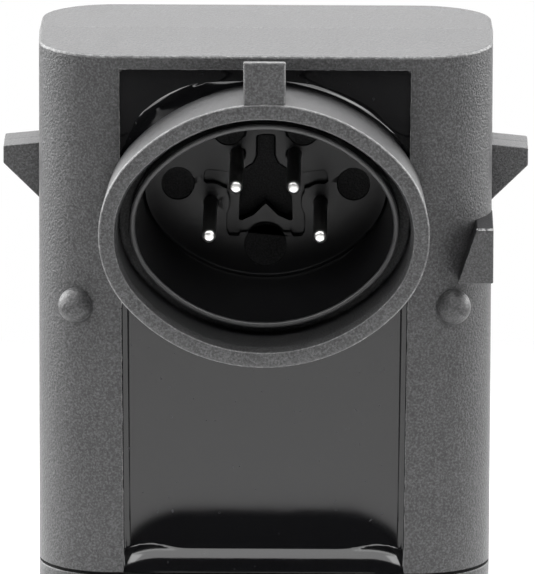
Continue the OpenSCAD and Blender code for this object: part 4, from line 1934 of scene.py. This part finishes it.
@dataclass
class Pins:
    """The four contact pins, modelled once and copied."""

    radius: float = 0.35
    tip: float = -8.1
    end: float = 5.15
    axis: float = 30.6
    sides: int = 40
    tip_round: float = 0.2
    end_round: float = 0.05
    tip_highlight_band: float = 0.21
    spots: Sequence[Flat] = PIN_SPOTS

    def build(self) -> None:
        """Models one pin, copies it and dresses all four."""
        foot, length = (0.0, self.tip, self.axis), self.end - self.tip
        first = add_rod("pin_blank", foot, self.radius, length, self.sides)
        bevel(first, self.tip_round, 5, lambda e: sharp(e) and middle(e).y < self.tip + TOUCH)
        bevel(first, self.end_round, 2, lambda e: sharp(e) and middle(e).y > self.end - TOUCH)
        for number, (x, z) in enumerate(self.spots, 1):
            pin = bpy.data.objects.new(f"pin_{number}", first.data.copy())
            bpy.context.collection.objects.link(pin)
            pin.location = (x * MM, 0.0, z * MM)
            only(pin)
            bpy.ops.object.transform_apply(location=True)
            smooth(pin)
            dress(pin, TIN_WITH_PAINTED_SHADE, TIP_PAINTED_HIGHLIGHT)
            # The rounded tip is painted bright: a painted highlight.
            paint(pin, 1, lambda at, normal: at.y < self.tip + self.tip_highlight_band)
            place(pin, f"contact_pin_{number}")
        bpy.data.objects.remove(first)


@dataclass
class Head:
    """The round head below the seam: housing, silicone ring and membrane."""

    seam: float = 12.0
    groove_h: float = 0.16
    edge_round: float = 0.08
    pieces: Sequence[tuple[str, str, bool, Sequence[Finish]]] = (
        ("head_housing", "head_moulding", True, (HEAD, GROOVE_PAINTED_SHADE)),
        ("decoupling_ring", "silicone_ring", True, (SILICONE,)),
        ("membrane_cup", "membrane_face", False, (MEMBRANE,)),
    )

    def build(self) -> None:
        """Copies each solid, rounds its edges and dresses it."""
        low, high = self.seam - self.groove_h - TOUCH, self.seam + TOUCH
        for node, name, softened, finishes in self.pieces:
            piece = copied(node, name)
            if softened:
                bevel(piece, self.edge_round, 3, sharp)
            smooth(piece)
            dress(piece, *finishes)
            # The groove's faces are painted dark: painted shade.
            if GROOVE_PAINTED_SHADE in finishes:
                paint(piece, finishes.index(GROOVE_PAINTED_SHADE), lambda at, normal: low < at.z < high)
            place(piece, node)


@dataclass
class Inside:
    """The nodes whose shape stays, and their finishes."""

    finishes: dict[str, Finish] = field(
        default_factory=lambda: {
            "piezo_disc": PIEZO,
            "damping_pad": FELT,
            "cup_filling": FILLING,
            "support_ring": SUPPORT,
            "transducer_lead_1": COPPER,
            "transducer_lead_2": COPPER,
            "circuit_board": BOARD,
            "driver_chip": CHIP,
            "transformer_core": FERRITE,
            "transformer_winding": COPPER,
            "storage_capacitor": TANTALUM,
            "chip_capacitors": CERAMIC_PART,
            "chip_resistors": RESISTOR,
            "solder_joints": SOLDER,
        }
    )

    def build(self) -> None:
        """Dresses each node."""
        for node, finish in self.finishes.items():
            dress(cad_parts[node], finish)
            LOG.info("%s has the finish %s", node, finish.name)


@dataclass
class Softbox:
    """One lamp of the studio."""

    name: str
    place: Point
    width: float
    height: float
    watts: float
    mirrored_only: bool = False
    target: Point = (0.0, 0.0, 0.02)

    def build(self) -> None:
        """Hangs the lamp and turns it to its target."""
        lamp = bpy.data.lights.new(self.name, "AREA")
        lamp.shape = "RECTANGLE"
        lamp.size = self.width
        lamp.size_y = self.height
        lamp.energy = self.watts
        holder = bpy.data.objects.new(self.name, lamp)
        bpy.context.collection.objects.link(holder)
        holder.location = self.place
        holder.rotation_mode = "QUATERNION"
        aim = Vector(self.target) - Vector(self.place)
        holder.rotation_quaternion = aim.to_track_quat("-Z", "Y")
        holder.visible_camera = False
        holder.visible_diffuse = not self.mirrored_only


@dataclass
class Studio:
    """Camera, floor, world and lamps."""

    aim_mm: Point = (0.15, -6.7, 26.836)
    azimuth: float = 0.38
    elevation: float = 12.6
    roll: float = 0.19
    distance: float = 0.5586
    focal_px: float = 11095.0
    long_side_px: float = 574.0
    sensor_mm: float = 36.0
    floor_size: float = 6.0
    floor_drop: float = 0.00002
    pale: Colour = (0.72, 0.72, 0.72)
    dark: Colour = (0.08, 0.08, 0.08)
    shadow_band: Flat = (0.02, 0.1)
    beside_band: Flat = (0.03, 0.07)
    away_band: Flat = (0.09, 0.36)
    behind_band: Flat = (-0.15, 0.3)
    ambient: float = 0.13
    sheen: float = 1.8
    front_glow: float = 0.025
    lamps: Sequence[Softbox] = (
        Softbox("top_softbox", (0.0, 0.15, 0.6), 0.6, 0.5, 8.5),
        Softbox("front_softbox", (0.0, -0.6, 0.525), 0.9, 0.26, 3.2),
        Softbox("brow", (0.0, -0.493, 0.643), 0.9, 0.06, 1.1, True),
        Softbox("left_near", (-0.398, -0.51, 0.483), 0.3, 0.2, 0.9, True),
        Softbox("right_near", (0.398, -0.51, 0.483), 0.3, 0.2, 0.9, True),
        Softbox("left_far", (-0.61, -0.381, 0.364), 0.3, 0.2, 0.9, True),
        Softbox("right_far", (0.61, -0.381, 0.364), 0.3, 0.2, 0.9, True),
        Softbox("left_softbox", (-0.5, 0.22, 0.2), 0.7, 0.6, 9.8),
        Softbox("right_softbox", (0.5, 0.22, 0.2), 0.7, 0.6, 6.9),
    )

    def build(self) -> None:
        """Sets the whole studio up."""
        self._camera()
        self._floor()
        self._world()
        for lamp in self.lamps:
            lamp.build()
        bpy.context.scene.view_settings.view_transform = "Standard"

    def _camera(self) -> None:
        """Stands the camera where the photograph was taken from."""
        lens = bpy.data.cameras.new("portrait")
        lens.sensor_width = self.sensor_mm
        lens.lens = self.focal_px * lens.sensor_width / self.long_side_px
        camera = bpy.data.objects.new("portrait", lens)
        bpy.context.collection.objects.link(camera)
        turn, rise = math.radians(self.azimuth), math.radians(self.elevation)
        back = Vector(
            (math.sin(turn) * math.cos(rise), -math.cos(turn) * math.cos(rise), math.sin(rise))
        )
        camera.location = Vector(self.aim_mm) * MM + back * self.distance
        camera.rotation_mode = "QUATERNION"
        level = (-back).to_track_quat("-Z", "Y")
        camera.rotation_quaternion = level @ Quaternion((0.0, 0.0, 1.0), math.radians(self.roll))
        bpy.context.scene.camera = camera

    def _floor(self) -> None:
        """Lays a pale floor that is white to the camera away from the object's shadow, and dark in
        mirrors beside and away from the object: painted shade seen only in reflections.
        """
        deselect()
        bpy.ops.mesh.primitive_plane_add(
            size=self.floor_size, location=(0.0, 0.0, -self.floor_drop)
        )
        floor = bpy.context.object
        floor.name = "floor"
        coat = bpy.data.materials.new("pale_floor")
        coat.use_nodes = True
        graph = Graph(coat.node_tree)
        far = graph.node(
            "ShaderNodeVectorMath", {"operation": "LENGTH"}, {0: graph.place()}, "Value"
        )
        seen = graph.node("ShaderNodeLightPath", output="Is Camera Ray")
        glow = graph.band(far, *self.shadow_band) * seen
        # Painted shade for mirrored rays: the floor turns dark beside and away from the object.
        in_mirror = graph.node("ShaderNodeLightPath", output="Is Glossy Ray")
        beside = graph.band(abs(graph.axis("X")), *self.beside_band)
        away = graph.band(graph.axis("Y") * -1.0, *self.away_band)
        dimming = (beside + away - beside * away) * in_mirror
        cloth = graph.node(
            "ShaderNodeBsdfDiffuse", sockets={"Color": graph.tint(dimming, self.pale, self.dark)}
        )
        white = graph.node("ShaderNodeEmission", sockets={"Strength": 1.0})
        top = graph.node("ShaderNodeMixShader", sockets={0: glow, 1: cloth, 2: white})
        under = graph.node("ShaderNodeNewGeometry", output="Backfacing")
        clear = graph.node("ShaderNodeBsdfTransparent")
        both = graph.node("ShaderNodeMixShader", sockets={0: under, 1: top, 2: clear})
        graph.node("ShaderNodeOutputMaterial", sockets={"Surface": both})
        floor.data.materials.append(coat)

    def _world(self) -> None:
        """Surrounds the studio with white that lights little, dark in mirrors on the near side."""
        world = bpy.data.worlds.new("studio")
        world.use_nodes = True
        bpy.context.scene.world = world
        graph = Graph(world.node_tree)
        camera = graph.node("ShaderNodeLightPath", output="Is Camera Ray")
        glossy = graph.node("ShaderNodeLightPath", output="Is Glossy Ray")
        way = graph.node("ShaderNodeTexCoord", output="Generated")
        depth = graph.node("ShaderNodeSeparateXYZ", sockets={0: way}, output="Y")
        back = graph.band(depth, *self.behind_band)
        mirror = self.front_glow + back * (self.sheen - self.front_glow)
        soft = self.ambient + glossy * (mirror - self.ambient)
        strength = soft + camera * (1.0 - soft)
        white = graph.node(
            "ShaderNodeBackground", sockets={"Color": (1.0, 1.0, 1.0, 1.0), "Strength": strength}
        )
        graph.node("ShaderNodeOutputWorld", sockets={"Surface": white})


def main() -> None:
    """Builds every piece in order."""
    logging.basicConfig(level=logging.INFO, format="%(name)s: %(message)s")
    for part in (Casing(), Shroud(), Carrier(), Potting(), Pins(), Head(), Inside(), Studio()):
        part.build()
        LOG.info("%s done", type(part).__name__)


if __name__ == "__main__":
    main()
